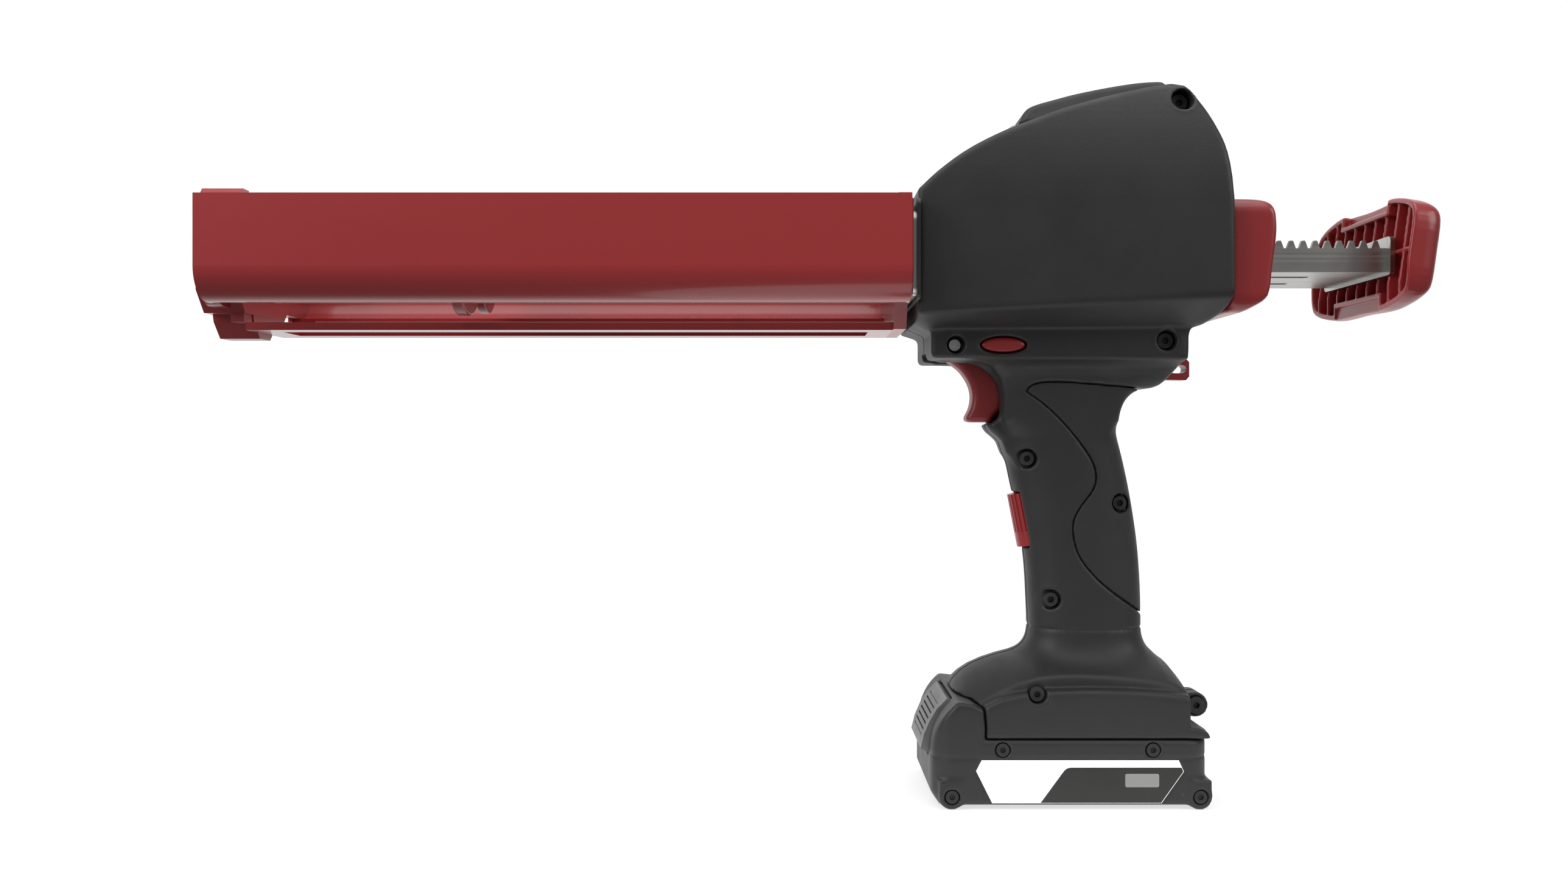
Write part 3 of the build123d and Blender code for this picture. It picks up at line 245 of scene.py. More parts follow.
assign(M_RED, "carrier_left_side", "carrier_right_side", "carrier_spine")
assign(M_REDP, "front_yoke", "rear_bracket", "rear_cap", "pull_handle", "large_plunger", "small_plunger", "speed_dial", "manual_button", "release_lever")
assign(M_REDT, "trigger")
assign(M_STEEL, "rack_channel", "plunger_crosshead")
assign(M_STEELP, "rack_end_plate", "front_steel_plate")
assign(M_PIN, "trigger_pivot_pin", "release_lever_pin")
assign(M_GEAR, "drive_shaft", "left_rack_pinion", "right_rack_pinion", "output_gear", "idler_shaft", "idler_gear", "idler_pinion", "motor_shaft", "motor_pinion", "shaft_bearings", "frame_spacers", "motor_can")
assign(M_SCREW, "carrier_screws", "plunger_screws", "handle_screws", "housing_screws", "battery_screws")
assign(M_ALU, "gear_frame_left", "gear_frame_right")
assign(M_LENS, "led_lens")
assign(M_DARK, "left_housing_shell", "right_housing_shell", "top_cover")
assign(M_PAD, "rear_grip_pad")
assign(M_DARK2, "battery_lower_case", "battery_upper_case")
assign(M_BLACK, "carrier_socket", "rack_guide", "battery_rail_frame", "trigger_switch", "dial_potentiometer", "motor_end_cap")
assign(M_GREY, "battery_release_button")
assign(M_BRASS, "terminal_blades", "battery_contacts")
assign(M_CELL, "battery_cells")
assign(M_LAB_L, "battery_label_left", "battery_label_right")

# ------------------------------------------------------------------ moulded shapes
# Distance fields in millimetres, negative inside, turned into meshes cell by cell.
def poly2(px, pz, pts):
    """Signed distance to a closed polygon, for arrays that broadcast together."""
    n = len(pts)
    shape = np.broadcast(px, pz).shape
    best = np.full(shape, 1e9, np.float32)
    odd = np.zeros(shape, bool)
    for i in range(n):
        ax, az = pts[i]
        bx, bz = pts[(i + 1) % n]
        ex, ez = bx - ax, bz - az
        wx, wz = px - ax, pz - az
        t = np.clip((wx * ex + wz * ez) / (ex * ex + ez * ez + 1e-12), 0.0, 1.0)
        dx, dz = wx - ex * t, wz - ez * t
        best = np.minimum(best, dx * dx + dz * dz)
        if az != bz:
            cond = (az > pz) != (bz > pz)
            cross = px < (pz - az) * ex / ez + ax
            odd ^= np.broadcast_to(cond & cross, shape)
    d = np.sqrt(best)
    return np.where(odd, -d, d).astype(np.float32)


def smin(a, b, k):
    h = np.maximum(k - np.abs(a - b), 0.0) / k
    return np.minimum(a, b) - h * h * k * 0.25


def smax(a, b, k):
    h = np.maximum(k - np.abs(a - b), 0.0) / k
    return np.maximum(a, b) + h * h * k * 0.25


def bx(x, y, z, x0, x1, y0, y1, z0, z1):
    return np.maximum(np.maximum(np.maximum(x0 - x, x - x1), np.maximum(y0 - y, y - y1)), np.maximum(z0 - z, z - z1))


def cy(x, z, cx, cz, r):
    return np.hypot(x - cx, z - cz) - r


def spline(pts, per=6):
    """Smooth dense outline through the points (Catmull-Rom)."""
    p = [np.array(q, float) for q in pts]
    p = [2 * p[0] - p[1]] + p + [2 * p[-1] - p[-2]]
    out = []
    for i in range(1, len(p) - 2):
        for j in range(per):
            t = j / per
            a = 2 * p[i]
            b = p[i + 1] - p[i - 1]
            c = 2 * p[i - 1] - 5 * p[i] + 4 * p[i + 1] - p[i + 2]
            d = -p[i - 1] + 3 * p[i] - 3 * p[i + 1] + p[i + 2]
            out.append(tuple(0.5 * (a + b * t + c * t * t + d * t ** 3)))
    out.append(tuple(p[-2]))
    return out


def nets(func, lo, hi, h):
    """Closed mesh of the zero level of func inside the box lo..hi, cell size h, in mm."""
    ax = [np.arange(l, u + h, h, dtype=np.float32) for l, u in zip(lo, hi)]
    V = func(ax[0][:, None, None], ax[1][None, :, None], ax[2][None, None, :])
    V = np.ascontiguousarray(np.broadcast_to(V, tuple(len(a) for a in ax)), np.float32).copy()
    V[V == 0] = 1e-5
    for s in (0, -1):
        V[s], V[:, s], V[:, :, s] = 1.0, 1.0, 1.0
    S = V < 0
    cnt = np.zeros(tuple(k - 1 for k in S.shape), np.int8)
    nx, ny, nz = cnt.shape
    for i in (0, 1):
        for j in (0, 1):
            for k in (0, 1):
                cnt += S[i:i + nx, j:j + ny, k:k + nz]
    act = (cnt > 0) & (cnt < 8)
    ii, jj, kk = np.nonzero(act)
    idx = np.full(act.shape, -1, np.int32)
    idx[ii, jj, kk] = np.arange(len(ii), dtype=np.int32)
    P = np.zeros((len(ii), 3))
    W = np.zeros(len(ii))
    base = (ii, jj, kk)
    for a in range(3):
        o1, o2 = [q for q in range(3) if q != a]
        for u in (0, 1):
            for v in (0, 1):
                c = [base[0], base[1], base[2]]
                c[o1] = c[o1] + u
                c[o2] = c[o2] + v
                va = V[c[0], c[1], c[2]]
                d = list(c)
                d[a] = d[a] + 1
                vb = V[d[0], d[1], d[2]]
                m = (va < 0) != (vb < 0)
                t = np.zeros_like(va)
                t[m] = va[m] / (va[m] - vb[m])
                P[m, a] += t[m]
                P[m, o1] += u
                P[m, o2] += v
                W[m] += 1
    P /= W[:, None]
    verts = np.stack([ii, jj, kk], 1) + P
    verts = verts * h + np.array([a[0] for a in ax])
    quads = []
    for a in range(3):
        o1, o2 = [q for q in range(3) if q != a]
        s0 = [slice(None)] * 3
        s1 = [slice(None)] * 3
        s0[a], s1[a] = slice(0, -1), slice(1, None)
        A, B = S[tuple(s0)], S[tuple(s1)]
        e = np.nonzero(A != B)
        keep = (e[o1] > 0) & (e[o2] > 0) & (e[o1] < S.shape[o1] - 1) & (e[o2] < S.shape[o2] - 1)
        e = [q[keep] for q in e]
        ins = A[e[0], e[1], e[2]]

        def cell(u, v):
            c = [e[0], e[1], e[2]]
            c[o1] = c[o1] - u
            c[o2] = c[o2] - v
            return idx[c[0], c[1], c[2]]

        q = np.stack([cell(1, 1), cell(0, 1), cell(0, 0), cell(1, 0)], 1)
        flip = ~ins if a != 1 else ins
        q[flip] = q[flip][:, ::-1]
        quads.append(q)
    return verts, np.concatenate(quads)


def piece(name, func, lo, hi, h, mat, body, reps=(), sharp=None, where=None):
    """Piece from a field. where(faces' centres) may pick a second material slot."""
    v, q = nets(func, lo, hi, h)
    me = bpy.data.meshes.new(name)
    me.vertices.add(len(v))
    me.vertices.foreach_set("co", (v * MM).astype(np.float32).ravel())
    me.loops.add(len(q) * 4)
    me.loops.foreach_set("vertex_index", q.astype(np.int32).ravel())
    me.polygons.add(len(q))
    me.polygons.foreach_set("loop_start", np.arange(0, len(q) * 4, 4, dtype=np.int32))
    me.polygons.foreach_set("loop_total", np.full(len(q), 4, np.int32))
    me.update(calc_edges=True)
    me.validate()
    o = bpy.data.objects.new(name, me)
    scene.collection.objects.link(o)
    for m in (mat if isinstance(mat, (list, tuple)) else [mat]):
        me.materials.append(m)
    me.shade_smooth()
    if sharp:
        me.set_sharp_from_angle(angle=math.radians(sharp))
    if where is not None:
        c = v[q].mean(axis=1)
        me.polygons.foreach_set("material_index", where(c).astype(np.int32))
    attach(o, body)
    if reps:
        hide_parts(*reps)
    return o


# outlines of the housing in side view
TOP = spline([(-64.0, 252.6), (-56.0, 260.1), (-46.0, 267.7), (-36.0, 273.5), (-25.0, 278.7), (-16.2, 282.1), (-6.2, 286.0),
              (3.8, 289.2), (13.8, 292.1), (23.8, 294.6), (32.6, 296.6), (41.0, 298.0)], 3)
REAR = spline([(46.4, 297.0), (49.9, 292.1), (53.6, 286.0), (57.0, 279.1), (60.2, 271.1), (62.1, 262.1), (63.3, 250.1), (63.5, 240.0)], 3)
UP_SIDE = TOP + REAR + [(63.5, 210.3), (62.7, 206.4), (60.3, 202.9), (55.5, 199.5), (49.0, 197.4), (-59.0, 197.4), (-64.0, 199.8)]
UP_PROF = [(-48, 170), (-48, 236)] + spline([(-48, 250), (-47.3, 262), (-45.4, 274), (-42.4, 285), (-38.4, 295), (-33.5, 304)], 3)
UP_PROF = UP_PROF + [(-y, z) for y, z in reversed(UP_PROF)]
BAND = [(-56.9, 187.6), (-56.2, 185.9), (-54.6, 185.6), (49.3, 185.6), (49.3, 202.0), (-56.9, 202.0)]
PELV = [(-51.0, 190.0), (-40.0, 187.0), (-34.4, 185.6), (-29.4, 182.6), (-25.9, 177.6), (-24.3, 172.0), (-24.0, 160.0), (-20.0, 156.0), (20.0, 156.0)] + \
    spline([(24.6, 160.0), (25.4, 164.0), (27.2, 168.4), (30.4, 171.7), (34.6, 173.2), (38.6, 173.9), (42.0, 175.6), (45.6, 179.4), (48.4, 183.6), (49.3, 190.0)], 3) + [(49.3, 196.0), (-51.0, 196.0)]
PELV_PROF = [(-30.0, 200.0), (-30.0, 186.4), (-27.4, 184.6), (-24.8, 182.0), (-22.8, 178.6), (-21.2, 174.8), (-19.6, 169.0), (-17.6, 162.0), (-15.0, 154.0)]
PELV_PROF = PELV_PROF + [(-y, z) for y, z in reversed(PELV_PROF)]
BEAK = [(-30.7, 158.4), (-30.3, 157.0), (-29.0, 155.2), (-26.6, 153.2), (-24.4, 151.0), (-22.4, 146.0), (-18.0, 142.0), (-14.0, 158.4)]
SECT = np.array([(56.0, -12.4, 37.4, 19.4), (64.0, -11.9, 36.9, 18.9), (71.0, -11.6, 36.7, 18.7), (83.8, -12.2, 36.7, 18.4), (95.3, -12.7, 36.2, 18.2),
                 (108.8, -14.2, 35.1, 18.0), (124.2, -17.2, 32.8, 18.0), (135.9, -19.8, 30.6, 18.0), (147.6, -22.2, 27.9, 18.2),
                 (157.0, -24.2, 25.2, 18.8), (165.0, -24.6, 24.9, 19.6), (174.0, -25.0, 26.4, 20.4)])
SZ = np.linspace(56, 174, 60)
SS = [np.convolve(np.pad(np.interp(SZ, SECT[:, 0], SECT[:, i]), 3, mode="reflect", reflect_type="odd"), np.ones(7) / 7, mode="valid") for i in (1, 2, 3)]
CX = [-46.3, -44.5, -41.2, -36.8, -31.0, -25.0, -17.5, -10.0, 0.0, 30.0, 36.0, 41.0, 46.0, 49.1]
CZ = [44.6, 47.9, 51.3, 54.2, 56.7, 58.6, 60.4, 61.3, 61.8, 61.8, 61.2, 59.8, 56.8, 52.4]
RX = [-46.3, -38.9, -31.4, -21.4, -13.0, -3.0, 5.4, 17.1, 33.8, 42.2, 49.1]
RZ = [36.5, 41.1, 45.5, 50.3, 52.8, 53.7, 53.8, 53.2, 51.4, 50.0, 47.4]
TX = [-46.0, -37.6, -33.0, -29.8, -22.3, -14.0, -9.1, 7.5, 24.0, 40.6, 49.1]
TZ = [36.0, 41.2, 43.4, 45.0, 47.0, 48.2, 48.7, 49.1, 48.8, 47.6, 46.8]
ALLOW = [(-35.0, 28.9), (-34.7, 33.0), (-35.4, 41.2), (-40.1, 43.7), (-46.4, 44.3), (-46.4, 90.0), (49.1, 90.0), (49.1, 33.6), (53.0, 33.3), (56.2, 31.6), (57.5, 28.9)]


def grip_field(x, y, z, d=0.0):
    xf, xr, w = (np.interp(z, SZ, s).astype(np.float32) for s in SS)
    cx, a, b = (xf + xr) / 2, (xr - xf) / 2 - d, w - d
    p = 2.5
    u, v = np.abs(x - cx) / a + 1e-4, np.abs(y) / b + 1e-4
    q = (u ** p + v ** p) ** (1 / p)
    g = np.hypot((u / q) ** (p - 1) / a, (v / q) ** (p - 1) / b)
    return ((q - 1) / g).astype(np.float32)


def outer_field(x, y, z):
    ay = np.abs(y)
    up = smax(poly2(x, z + 0.0 * x, UP_SIDE), poly2(y, z, UP_PROF), 2.6)
    crease = 223.0 + (x + 64.0) * 0.172
    up = smax(up, ay - 48.0 + 0.022 * np.maximum(crease - z, 0.0), 0.3)
    zc = 202.5 + (x + 64.0) / 127.5 * 7.8
    L = np.hypot(18.0, zc - 197.4)
    bev = -((z - 197.4) * 18.0 - (ay - 30.0) * (zc - 197.4)) / L
    up = smax(up, bev, 2.2)
    band = smax(poly2(x, z, BAND), ay - 30.0, 2.4)
    f = smin(up, band, 3.0)
    pel = smax(poly2(x, z, PELV), poly2(y, z, PELV_PROF), 5.0)
    f = smin(f, pel, 4.0)
    gr = np.maximum(grip_field(x, y, z), np.maximum(55.0 - z, z - 178.0))
    f = smin(f, gr, 6.0)
    beak = smax(poly2(x, z, BEAK), ay - 11.6, 3.4)
    f = smin(f, beak, 3.0)
    rim = cy(x, z, 0, 0, 0) * 0 + 1e3
    for (x0, z0), (x1, z1) in zip(RIM[:-1], RIM[1:]):
        ex, ez = x1 - x0, z1 - z0
        t = np.clip(((x - x0) * ex + (z - z0) * ez) / (ex * ex + ez * ez), 0, 1)
        rim = np.minimum(rim, np.hypot(x - x0 - t * ex, z - z0 - t * ez))
    f = smin(f, smax(rim - 1.5, ay - 11.6, 1.5), 1.6)
    # foot over the battery: side pods, dome, rear ledge and rear lug
    allow = poly2(x, z, ALLOW)
    top1 = (z - np.interp(x, TX, TZ)) * 0.93
    pod = smax(smax(ay - 36.0, top1, 3.0), allow, 1.2)
    R, C = np.interp(x, RX, RZ), np.interp(x, CX, CZ)
    ztop = C - (C - R) * np.minimum(ay / 31.0, 1.2) ** 2
    dome = smax(smax(ay - 31.0, (z - ztop) * 0.88, 2.0), allow, 1.0)
    base = smin(pod, dome, 1.6)
    f = smin(f, base, 9.0) if True else f
    lug = smin(smax(cy(x, z, 59.7, 37.4, 5.2), ay - 7.0, 0.8), smax(np.maximum(np.maximum(46.0 - x, x - 59.7), np.maximum(33.1 - z, z - 42.5)), ay - 7.0, 0.8), 0.5)
    return smin(f, lug, 1.0)


RIM = [(-50.5, 186.6), (-44.0, 186.9), (-38.0, 186.3), (-33.4, 184.4), (-29.0, 181.3), (-25.2, 176.6), (-23.2, 171.0), (-22.6, 166.0), (-23.6, 162.4), (-25.0, 160.0), (-27.2, 158.2)]
TOWERS = [(-14.4, 143.7, 5.2, 16.6, 4.1), (25.7, 124.7, 5.2, 14.2, 4.1), (-4.5, 83.8, 5.2, 17.8, 4.1), (40.7, 192.9, 5.4, 30.0, 4.1),
          (44.4, 290.2, 5.6, 36.6, 4.5), (-13.7, 46.9, 5.0, 36.0, 3.7), (59.7, 37.4, 5.0, 7.0, 3.7)]
PAD2 = spline([(-15.9, 173.2), (-12.2, 175.6), (-3.4, 176.4), (12.5, 175.4), (30.0, 174.0)], 4) + [(45.0, 172.0), (45.0, 73.6), (38.4, 74.8)] + \
    spline([(36.0, 76.6), (33.5, 78.4), (21.3, 86.8), (13.4, 93.8), (7.2, 101.8), (4.6, 109.7), (4.4, 116.8), (7.2, 123.0), (12.9, 130.9), (14.1, 137.1), (11.6, 144.1), (3.7, 154.7), (-6.9, 165.3), (-16.0, 172.0)], 4)
DT = math.radians(10.9)


def dial_field(x, y, z, r, l):
    rx, rz = x + 9.96, z - 118.1
    along = -rx * math.sin(DT) + rz * math.cos(DT)
    across = rx * math.cos(DT) + rz * math.sin(DT)
    return smax(np.hypot(across, y) - r, np.abs(along) - l / 2, 0.6)


def lens2(x, z, l, h):
    a, b = l / 2, h / 2
    return (np.sqrt(((x + 27.0) / a) ** 2 + ((z - 191.0) / b) ** 2) - 1) * b * 0.9


def house_field(x, y, z, sign):
    f = outer_field(x, y, z)
    ay = np.abs(y)
    padz = smax(poly2(x, z, PAD2), -(f + 1.5), 0.4)
    body = np.maximum(f, -(f + 3.0))
    for cx, cz, rt, yo, rb in TOWERS:
        body = smin(body, np.maximum(cy(x, z, cx, cz, rt), f), 0.8)
    body = np.minimum(body, np.maximum(np.maximum(cy(x, z, -46.7, 191.2, 5.2), 8.0 - ay), f))
    g = smax(body, -padz, 0.5)
    for cx, cz, rt, yo, rb in TOWERS:
        deep = 5.0 if yo > 10 else 1.4
        if sign < 0:
            g = smax(g, -np.maximum(cy(x, z, cx, cz, rb), y + yo - deep), 0.9)
            g = np.maximum(g, -cy(x, z, cx, cz, 1.72))
        else:
            g = np.maximum(g, -np.maximum(cy(x, z, cx, cz, 1.72), y - 10.5))
    g = smax(g, -bx(x, y, z, -70.0, -13.0, -7.4, 7.4, 158.9, 189.0), 0.8)
    g = np.maximum(g, -bx(x, y, z, -52.0, -20.0, -7.4, 7.4, 180.0, 197.0))
    g = np.maximum(g, -cy(x, z, -46.7, 191.2, 2.43))
    g = smax(g, -np.maximum(cy(x, z, -46.7, 191.2, 3.7), 25.0 - ay), 0.6)
    g = smax(g, -dial_field(x, y, z, 9.1, 24.2), 0.8)
    mouth = np.maximum(np.maximum(ay - 44.6, np.abs(z - 228.5) - 18.6), np.maximum(x + 51.0, -70.0 - x))
    g = smax(g, -mouth, 0.8)
    g = smax(g, -bx(x, y, z, 55.0, 72.0, -32.5, 32.5, 218.0, 238.0), 0.8)
    if sign < 0:
        g = smax(g, -np.maximum(lens2(x, z, 19.6, 7.4), np.maximum(-34.0 - y, y + 24.0)), 0.8)
    g = smax(g, -bx(x, y, z, 38.0, 62.0, -4.6, 4.6, 176.5, 188.2), 0.6)
    g = np.maximum(g, -bx(x, y, z, -45.0, 46.1, -33.2, 33.2, 20.0, 31.0))
    g = np.maximum(g, -bx(x, y, z, -60.0, -20.0, -25.6, 25.6, 20.0, 38.6))
    g = smax(g, -(np.maximum(poly2(x, z, HUMP), ay - 22.6)), 0.4)
    g = smax(g, -np.maximum(np.abs(z - 71.2) - 0.55, -(f + 0.6)), 0.3)
    g = np.maximum(g, -bx(x, y, z, -28.2, 45.7, -33.05, 33.05, 29.0, 43.0))
    g = np.maximum(g, -bx(x, y, z, -13.0, 12.4, -9.2, 9.2, 162.8, 184.2))
    g = np.maximum(g, -bx(x, y, z, -48.2, 56.2, -33.5, 33.5, 211.2, 237.0))
    return smax(g, sign * -1.0 * y + 0.10 if sign > 0 else y + 0.10, 0.5)


HUMP = spline([(-18.3, 286.0), (-15.7, 291.2), (-11.8, 294.0), (-2.0, 296.8), (6.1, 298.9), (18.0, 301.3), (29.9, 303.2), (39.5, 303.9), (43.6, 303.0), (46.6, 297.2)], 3) + [(40.0, 294.4), (18.0, 290.6), (-4.0, 284.4)]

RES = 0.8
for tag, sign, y0, y1, node in (("left", -1, -49.6, 0.8, "left_housing_shell"), ("right", 1, -0.8, 49.6, "right_housing_shell")):
    piece("moulded_housing_" + tag, lambda x, y, z: house_field(x, y, z, sign), (-66.4, y0, 26.4), (67.2, y1, 300.8), RES, M_DARK, "housing", (node,))


def pad_field(x, y, z):
    f = outer_field(x, y, z)
    g = smax(f + 0.05, -(f + 1.4), 0.5)
    g = smax(g, poly2(x, z, PAD2) + 0.45, 0.9)
    g = np.maximum(g, 72.4 - z)
    for cx, cz, rt, yo, rb in TOWERS[:3]:
        g = smax(g, -np.maximum(cy(x, z, cx, cz, rb), y + 4.0), 0.9)
    return g


piece("soft_grip_pad", pad_field, (-19.0, -24.0, 69.0), (40.0, 24.0, 178.0), 0.7, M_PAD, "housing", ("rear_grip_pad",))


def hump_field(x, y, z):
    t = (x + 18.0) / 62.0
    half = 15.0 + 6.5 * np.clip(t, 0, 1) ** 0.6
    g = smax(poly2(x, z, HUMP), np.abs(y) - half + (z - 292.0) * 0.35, 2.4)
    return np.maximum(g, -(outer_field(x, y, z) + 1.2))


piece("headlight_hood", hump_field, (-20.0, -24.0, 280.0), (48.4, 24.0, 305.0), 0.6, M_DARK, "housing", ("top_cover",))


# ------------------------------------------------------------------ handle, cap, controls, battery
def prism(name, pts, y0, y1, mat, body, reps=(), bevel=0.0):
    """Flat piece from an outline in side view."""
    b = bmesh.new()
    a = [b.verts.new((x * MM, y0 * MM, z * MM)) for x, z in pts]
    c = [b.verts.new((x * MM, y1 * MM, z * MM)) for x, z in pts]
    b.faces.new(a)
    b.faces.new(list(reversed(c)))
    for i in range(len(pts)):
        j = (i + 1) % len(pts)
        b.faces.new((a[j], a[i], c[i], c[j]))
    bmesh.ops.recalc_face_normals(b, faces=b.faces)
    if bevel:
        bmesh.ops.bevel(b, geom=list(b.edges), offset=bevel * MM, segments=2, affect="EDGES")
    me = bpy.data.meshes.new(name)
    b.to_mesh(me)
    b.free()
    me.materials.append(mat)
    o = bpy.data.objects.new(name, me)
    scene.collection.objects.link(o)
    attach(o, body)
    if reps:
        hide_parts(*reps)
    return o


def rrect(u, v, cu, cv, w, h, r):
    qu, qv = np.abs(u - cu) - (w / 2 - r), np.abs(v - cv) - (h / 2 - r)
    return np.hypot(np.maximum(qu, 0), np.maximum(qv, 0)) + np.minimum(np.maximum(qu, qv), 0) - r


HO = spline([(-50.0, 229.0), (-49.8, 240.0), (-47.4, 246.4), (-41.0, 249.8), (-33.0, 251.8), (-25.0, 252.9), (-15.0, 252.7), (0.0, 252.2),
             (15.0, 252.7), (25.0, 252.9), (33.0, 251.8), (41.0, 249.8), (47.4, 246.4), (49.8, 240.0), (50.0, 229.0),
             (49.8, 218.0), (47.4, 211.8), (41.0, 208.9), (33.0, 207.2), (25.0, 206.2), (15.0, 206.1), (0.0, 206.4),
             (-15.0, 206.1), (-25.0, 206.2), (-33.0, 207.2), (-41.0, 208.9), (-47.4, 211.8), (-49.8, 218.0), (-50.0, 229.0)], 3)[:-1]
HT = math.radians(8.0)


def handle_field(X, y, Z):
    dx, dz = X - 132.4, Z - 229.0
    x = dx * math.cos(HT) - dz * math.sin(HT)
    z = 229.0 + dx * math.sin(HT) + dz * math.cos(HT)
    z = z + 0 * y
    x = x + 0 * y
    o2 = poly2(y + 0 * z, z, HO) + 0.15
    ay = np.abs(y)
    g = smax(smax(o2, x - 13.3, 8.0), 0.05 - x, 1.0)
    void = np.maximum(o2 + 2.2, x - 9.0)
    void = np.maximum(void, -np.maximum(ay - 23.8, np.minimum(245.9 - z, z - 213.6)))
    rib = np.abs(z - 229.2) - 0.75
    for k in range(-4, 5):
        rib = np.minimum(rib, np.abs(y - 10.2 * k) - 0.75)
    boss = np.minimum(np.hypot(y - 20.0, z - 228.6), np.hypot(y + 20.0, z - 228.6)) - 5.0
    void = smax(void, -np.maximum(rib, 1.2 - x), 0.5)
    void = smax(void, -np.maximum(boss, 2.4 - x), 0.5)
    g = smax(g, -void, 0.7)
    notch = np.maximum(np.maximum(ay - 21.8, x - 3.2), np.minimum(248.1 - z, z - 211.4))
    g = smax(g, -notch, 0.8)
    g = np.maximum(g, -bx(X, y, Z, 118.0, 133.65, -34.1, 34.1, 219.4, 236.1))
    g = np.maximum(g, 131.75 - X)
    return np.maximum(g, -np.maximum(np.minimum(np.hypot(y - 20.0, Z - 228.6), np.hypot(y + 20.0, Z - 228.6)) - 1.78, X - 141.0))


piece("ribbed_pull_handle", handle_field, (127.0, -51.2, 203.2), (150.4, 51.2, 255.4), 0.5, M_REDP, "rack", ("pull_handle",))

CAPO = [(63.5, 251.3)] + spline([(71.1, 251.2), (76.6, 250.6), (80.2, 249.0), (82.0, 246.2), (82.8, 241.5), (82.7, 234.0), (81.2, 222.0), (80.2, 213.4)], 4) + spline([(79.3, 210.2), (77.3, 208.0), (73.5, 205.6), (69.6, 203.2)], 3) + [(63.6, 203.2)]


def cap_field(x, y, z):
    g = smax(poly2(x, z + 0 * x, CAPO) + 0.1, rrect(y, z, 0, 227.4, 82.0, 48.4, 8.0) + 0.1, 2.6)
    g = np.maximum(g, -np.maximum(np.maximum(rrect(y, z, 0, 227.4, 76.0, 42.4, 5.0), x - 77.0), 60.0 - x))
    g = smax(g, -bx(x, y, z, 58.0, 92.0, -31.0, 31.0, 219.6, 236.2), 0.9)
    return smax(g, 63.55 - x, 0.5)


piece("red_rear_cap", cap_field, (61.6, -42.0, 201.6), (84.2, 42.0, 253.0), 0.6, M_REDP, "housing", ("rear_cap",))

TRI = [(-51.0, 189.0), (-48.8, 186.6)] + spline([(-46.0, 185.0), (-41.4, 181.3), (-37.9, 176.0), (-36.6, 170.9), (-37.3, 165.7), (-39.2, 161.6), (-38.7, 159.8), (-36.8, 159.2)], 4) + \
    [(-28.4, 159.2), (-26.6, 161.8), (-23.6, 164.8), (-21.6, 170.0), (-20.6, 176.0), (-22.0, 183.0), (-33.0, 190.0), (-42.0, 193.5)]


def trigger_field(x, y, z):
    g = poly2(x, z + 0 * x, TRI) + 0.12
    g = np.minimum(g, cy(x, z, -46.7, 191.2, 4.9))
    front = poly2(x + 0.0, z + 0 * x, TRI)
    g = smax(g, np.abs(y) - 6.7, 3.2)
    return np.maximum(g, -cy(x, z, -46.7, 191.2, 2.46))


piece("curved_trigger", trigger_field, (-53.0, -7.6, 157.8), (-19.4, 7.6, 197.6), 0.4, M_REDT, "trigger_body", ("trigger",))


def button_field(x, y, z):
    g = smax(lens2(x, z, 18.2, 6.1), -30.7 - y + 0.055 * ((x + 27.0) / 3.0) ** 2 + 0.06 * (z - 191.0) ** 2, 1.0)
    g = np.maximum(g, y + 24.2)
    fl = np.maximum(lens2(x, z, 20.4, 8.0), np.abs(y + 26.25) - 0.6)
    fl = np.maximum(fl, 189.3 - z - 0.0 * x + np.where(x > -33.0, -10.0, 0.0))
    g = np.minimum(g, fl)
    return np.minimum(g, np.maximum(cy(x, z, -27.0, 191.0, 2.2), np.maximum(-24.4 - y, y + 19.1)))


piece("domed_manual_button", button_field, (-38.6, -31.6, 186.0), (-15.6, -18.2, 196.0), 0.35, M_REDP, "button", ("manual_button",))

SB = [(-57.9, 6.4), (-57.9, 19.4)] + spline([(-57.7, 21.6), (-57.1, 26.4), (-55.4, 32.0), (-52.4, 37.6), (-49.0, 41.6), (-46.8, 43.6)], 3) + \
    [(-46.2, 43.9), (-40.3, 43.3), (-35.9, 40.9), (-35.2, 32.8), (-35.4, 28.5), (57.4, 28.5), (57.4, 1.8), (-54.0, 1.8)]
LAB = [(-37.4, 20.8), (44.2, 20.8), (46.3, 15.9), (37.0, 2.4), (-33.0, 2.4), (-39.8, 16.1)]


def bat_outer(x, y, z):
    side_ = poly2(x, z + 0 * x, SB)
    g = smax(side_, rrect(x, y, -0.2, 0.0, 115.2, 72.8, 10.5), 2.2)
    ay = np.abs(y)
    for cx in (-49.2, 52.6):
        foot = smax(cy(x, z, cx, 5.1, 5.1), np.maximum(25.0 - ay, ay - 36.4), 1.0)
        leg = np.maximum(np.maximum(np.abs(x - cx) - 5.0, z - 12.0), np.maximum(np.maximum(5.1 - z, ay - 36.3), 26.0 - ay))
        g = smin(g, smin(foot, leg, 0.8), 1.4)
    return g


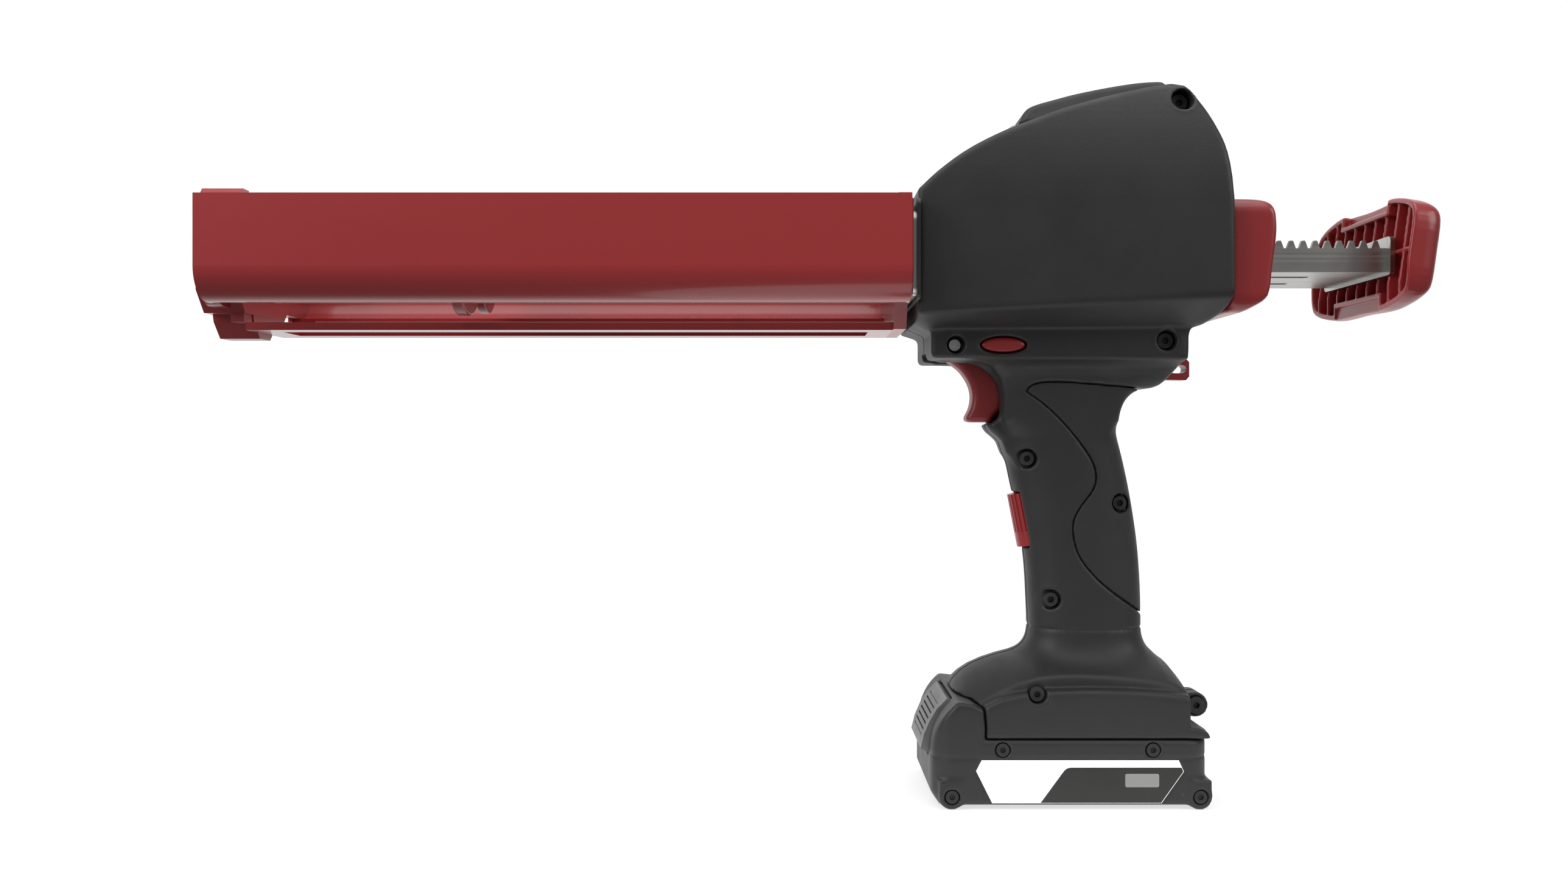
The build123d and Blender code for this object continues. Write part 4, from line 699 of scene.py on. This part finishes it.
def bat_field(x, y, z):
    g = bat_outer(x, y, z)
    ay = np.abs(y)
    hollow = np.maximum(rrect(x, y, 0, 0, 108.0, 66.0, 5.0), np.maximum(4.0 - z, z - 26.2))
    g = np.maximum(g, -hollow)
    blk = np.minimum(bx(x, ay, z, -29.0, 44.0, -1.0, 21.6, 28.0, 34.0), bx(x, ay, z, -29.0, 44.0, -1.0, 25.0, 34.0, 38.0))
    blk = np.maximum(blk, -bx(x, ay, z, -26.0, 41.5, -1.0, 18.0, 20.0, 30.6))
    g = np.minimum(g, blk)
    for yy in (-12.0, 0.0, 12.0):
        g = np.maximum(g, -bx(x, y, z, 16.0, 46.0, yy - 1.25, yy + 1.25, 31.6, 40.0))
    g = np.minimum(g, np.maximum(rrect(x, y, 0, 0, 20.0, 16.0, 2.0), np.maximum(0.05 - z, z - 4.0)))
    a = (x + 53.6) * 0.890 + (z - 31.6) * -0.456
    b = (x + 53.6) * 0.456 + (z - 31.6) * 0.890
    g = smax(g, -np.maximum(np.maximum(-12.0 - a, a - 7.2), np.maximum(np.abs(b) - 12.6, ay - 21.0)), 0.8)
    for cx, cz in ((-28.2, 24.4), (33.5, 24.4), (-49.0, 5.1), (53.0, 5.1)):
        g = smax(g, -np.maximum(cy(x, z, cx, cz, 3.15), 34.1 - ay), 0.7)
    g = smax(g, -np.maximum(poly2(x, z + 0 * x, LAB), 35.9 - ay), 0.5)
    seam = np.maximum(np.abs(z - 21.2) - 0.42, -(bat_outer(x, y, z) + 0.35))
    return smax(g, -seam, 0.3)


piece("battery_case", bat_field, (-59.6, -38.0, -1.2), (59.6, 38.0, 45.6), 0.8, M_DARK2, "battery", ("battery_lower_case", "battery_upper_case"))

FULL = [(-37.0, 20.4), (43.8, 20.4), (45.9, 15.8), (36.7, 2.8), (-32.7, 2.8), (-39.3, 16.0)]
BLK = [(-12.8, 3.0), (-4.0, 15.0), (-3.0, 16.3), (-1.9, 17.1), (-0.4, 17.4), (44.9, 17.4), (45.6, 15.8), (36.5, 3.0)]
GRY = [(21.8, 9.9), (22.3, 9.4), (35.2, 9.4), (35.7, 9.9), (35.7, 14.4), (35.2, 14.9), (22.3, 14.9), (21.8, 14.4)]
for s, tag in ((-1, "left"), (1, "right")):
    prism("label_light_" + tag, FULL, s * 36.30, s * 35.92, M_LAB_L, "battery", ("battery_label_" + tag,))
    prism("label_dark_" + tag, BLK, s * 36.36, s * 36.20, M_LAB_D, "battery")
    prism("label_grey_" + tag, GRY, s * 36.40, s * 36.26, M_LAB_G, "battery")


# ------------------------------------------------------------------ stage
CAM = Vector((-118.0, -585.0, 151.0)) * MM
cam_data = bpy.data.cameras.new("camera")
cam = bpy.data.objects.new("camera", cam_data)
scene.collection.objects.link(cam)
cam.location = CAM
cam.rotation_euler = (math.radians(90.0), 0.0, 0.0)
cam_data.sensor_width = 36.0
cam_data.lens = 30.745
cam_data.clip_start = 0.01
scene.camera = cam

bm = bmesh.new()
bmesh.ops.create_circle(bm, cap_ends=True, segments=64, radius=0.20)
fm = bpy.data.meshes.new("studio_floor")
bm.to_mesh(fm)
bm.free()
floor = bpy.data.objects.new("studio_floor", fm)
scene.collection.objects.link(floor)
mf, ntf, bf, cof = new_mat("pale_floor")
nf = noise(ntf, cof, 2.0, 3.0)
ntf.links.new(ramp(ntf, nf, (0.50, 0.50, 0.50), (0.50, 0.50, 0.50)), bf.inputs["Base Color"])
bf.inputs["Roughness"].default_value = 0.7
bf.inputs["Emission Color"].default_value = (1.0, 1.0, 1.0, 1.0)
bf.inputs["Emission Strength"].default_value = 0.66
fm.materials.append(mf)

world = bpy.data.worlds.new("studio_world")
scene.world = world
world.use_nodes = True
wn = world.node_tree
bg = wn.nodes["Background"]
# bright cyclorama behind and above, a darker room in front
wc = wn.nodes.new("ShaderNodeTexCoord")
ws = wn.nodes.new("ShaderNodeSeparateXYZ")
wn.links.new(wc.outputs["Generated"], ws.inputs[0])
back = remap(wn, ws.outputs[1], 0.194, 1.03, 0.30, 0.80)
up = remap(wn, ws.outputs[2], 0.05, 0.36, 0.10, 0.80)
down = remap(wn, ws.outputs[2], 0.140, 0.05, -0.95, -0.20)
low = wn.nodes.new("ShaderNodeMath")
low.operation = "MAXIMUM"
wn.links.new(up, low.inputs[0])
wn.links.new(down, low.inputs[1])
up = low.outputs[0]
tot = wn.nodes.new("ShaderNodeMath")
tot.operation = "MAXIMUM"
wn.links.new(back, tot.inputs[0])
wn.links.new(up, tot.inputs[1])
bg.inputs[0].default_value = (1.0, 1.0, 1.0, 1)
wn.links.new(tot.outputs[0], bg.inputs[1])


def area(name, loc, target, size, power, size_y=None):
    d = bpy.data.lights.new(name, "AREA")
    d.energy = power
    d.size = size
    if size_y:
        d.shape = "RECTANGLE"
        d.size_y = size_y
    o = bpy.data.objects.new(name, d)
    scene.collection.objects.link(o)
    o.location = loc
    o.rotation_euler = (Vector(target) - Vector(loc)).to_track_quat("-Z", "Y").to_euler()
    return o


area("top_softbox", (-0.1, -0.25, 1.5), (-0.1, 0.0, 0.15), 1.5, 13.08)
area("left_softbox", (-1.35, -0.75, 0.85), (-0.1, 0.0, 0.2), 0.9, 11.95)
area("right_softbox", (1.2, -0.85, 0.9), (0.0, 0.0, 0.2), 0.8, 7.11)

scene.view_settings.view_transform = "Standard"
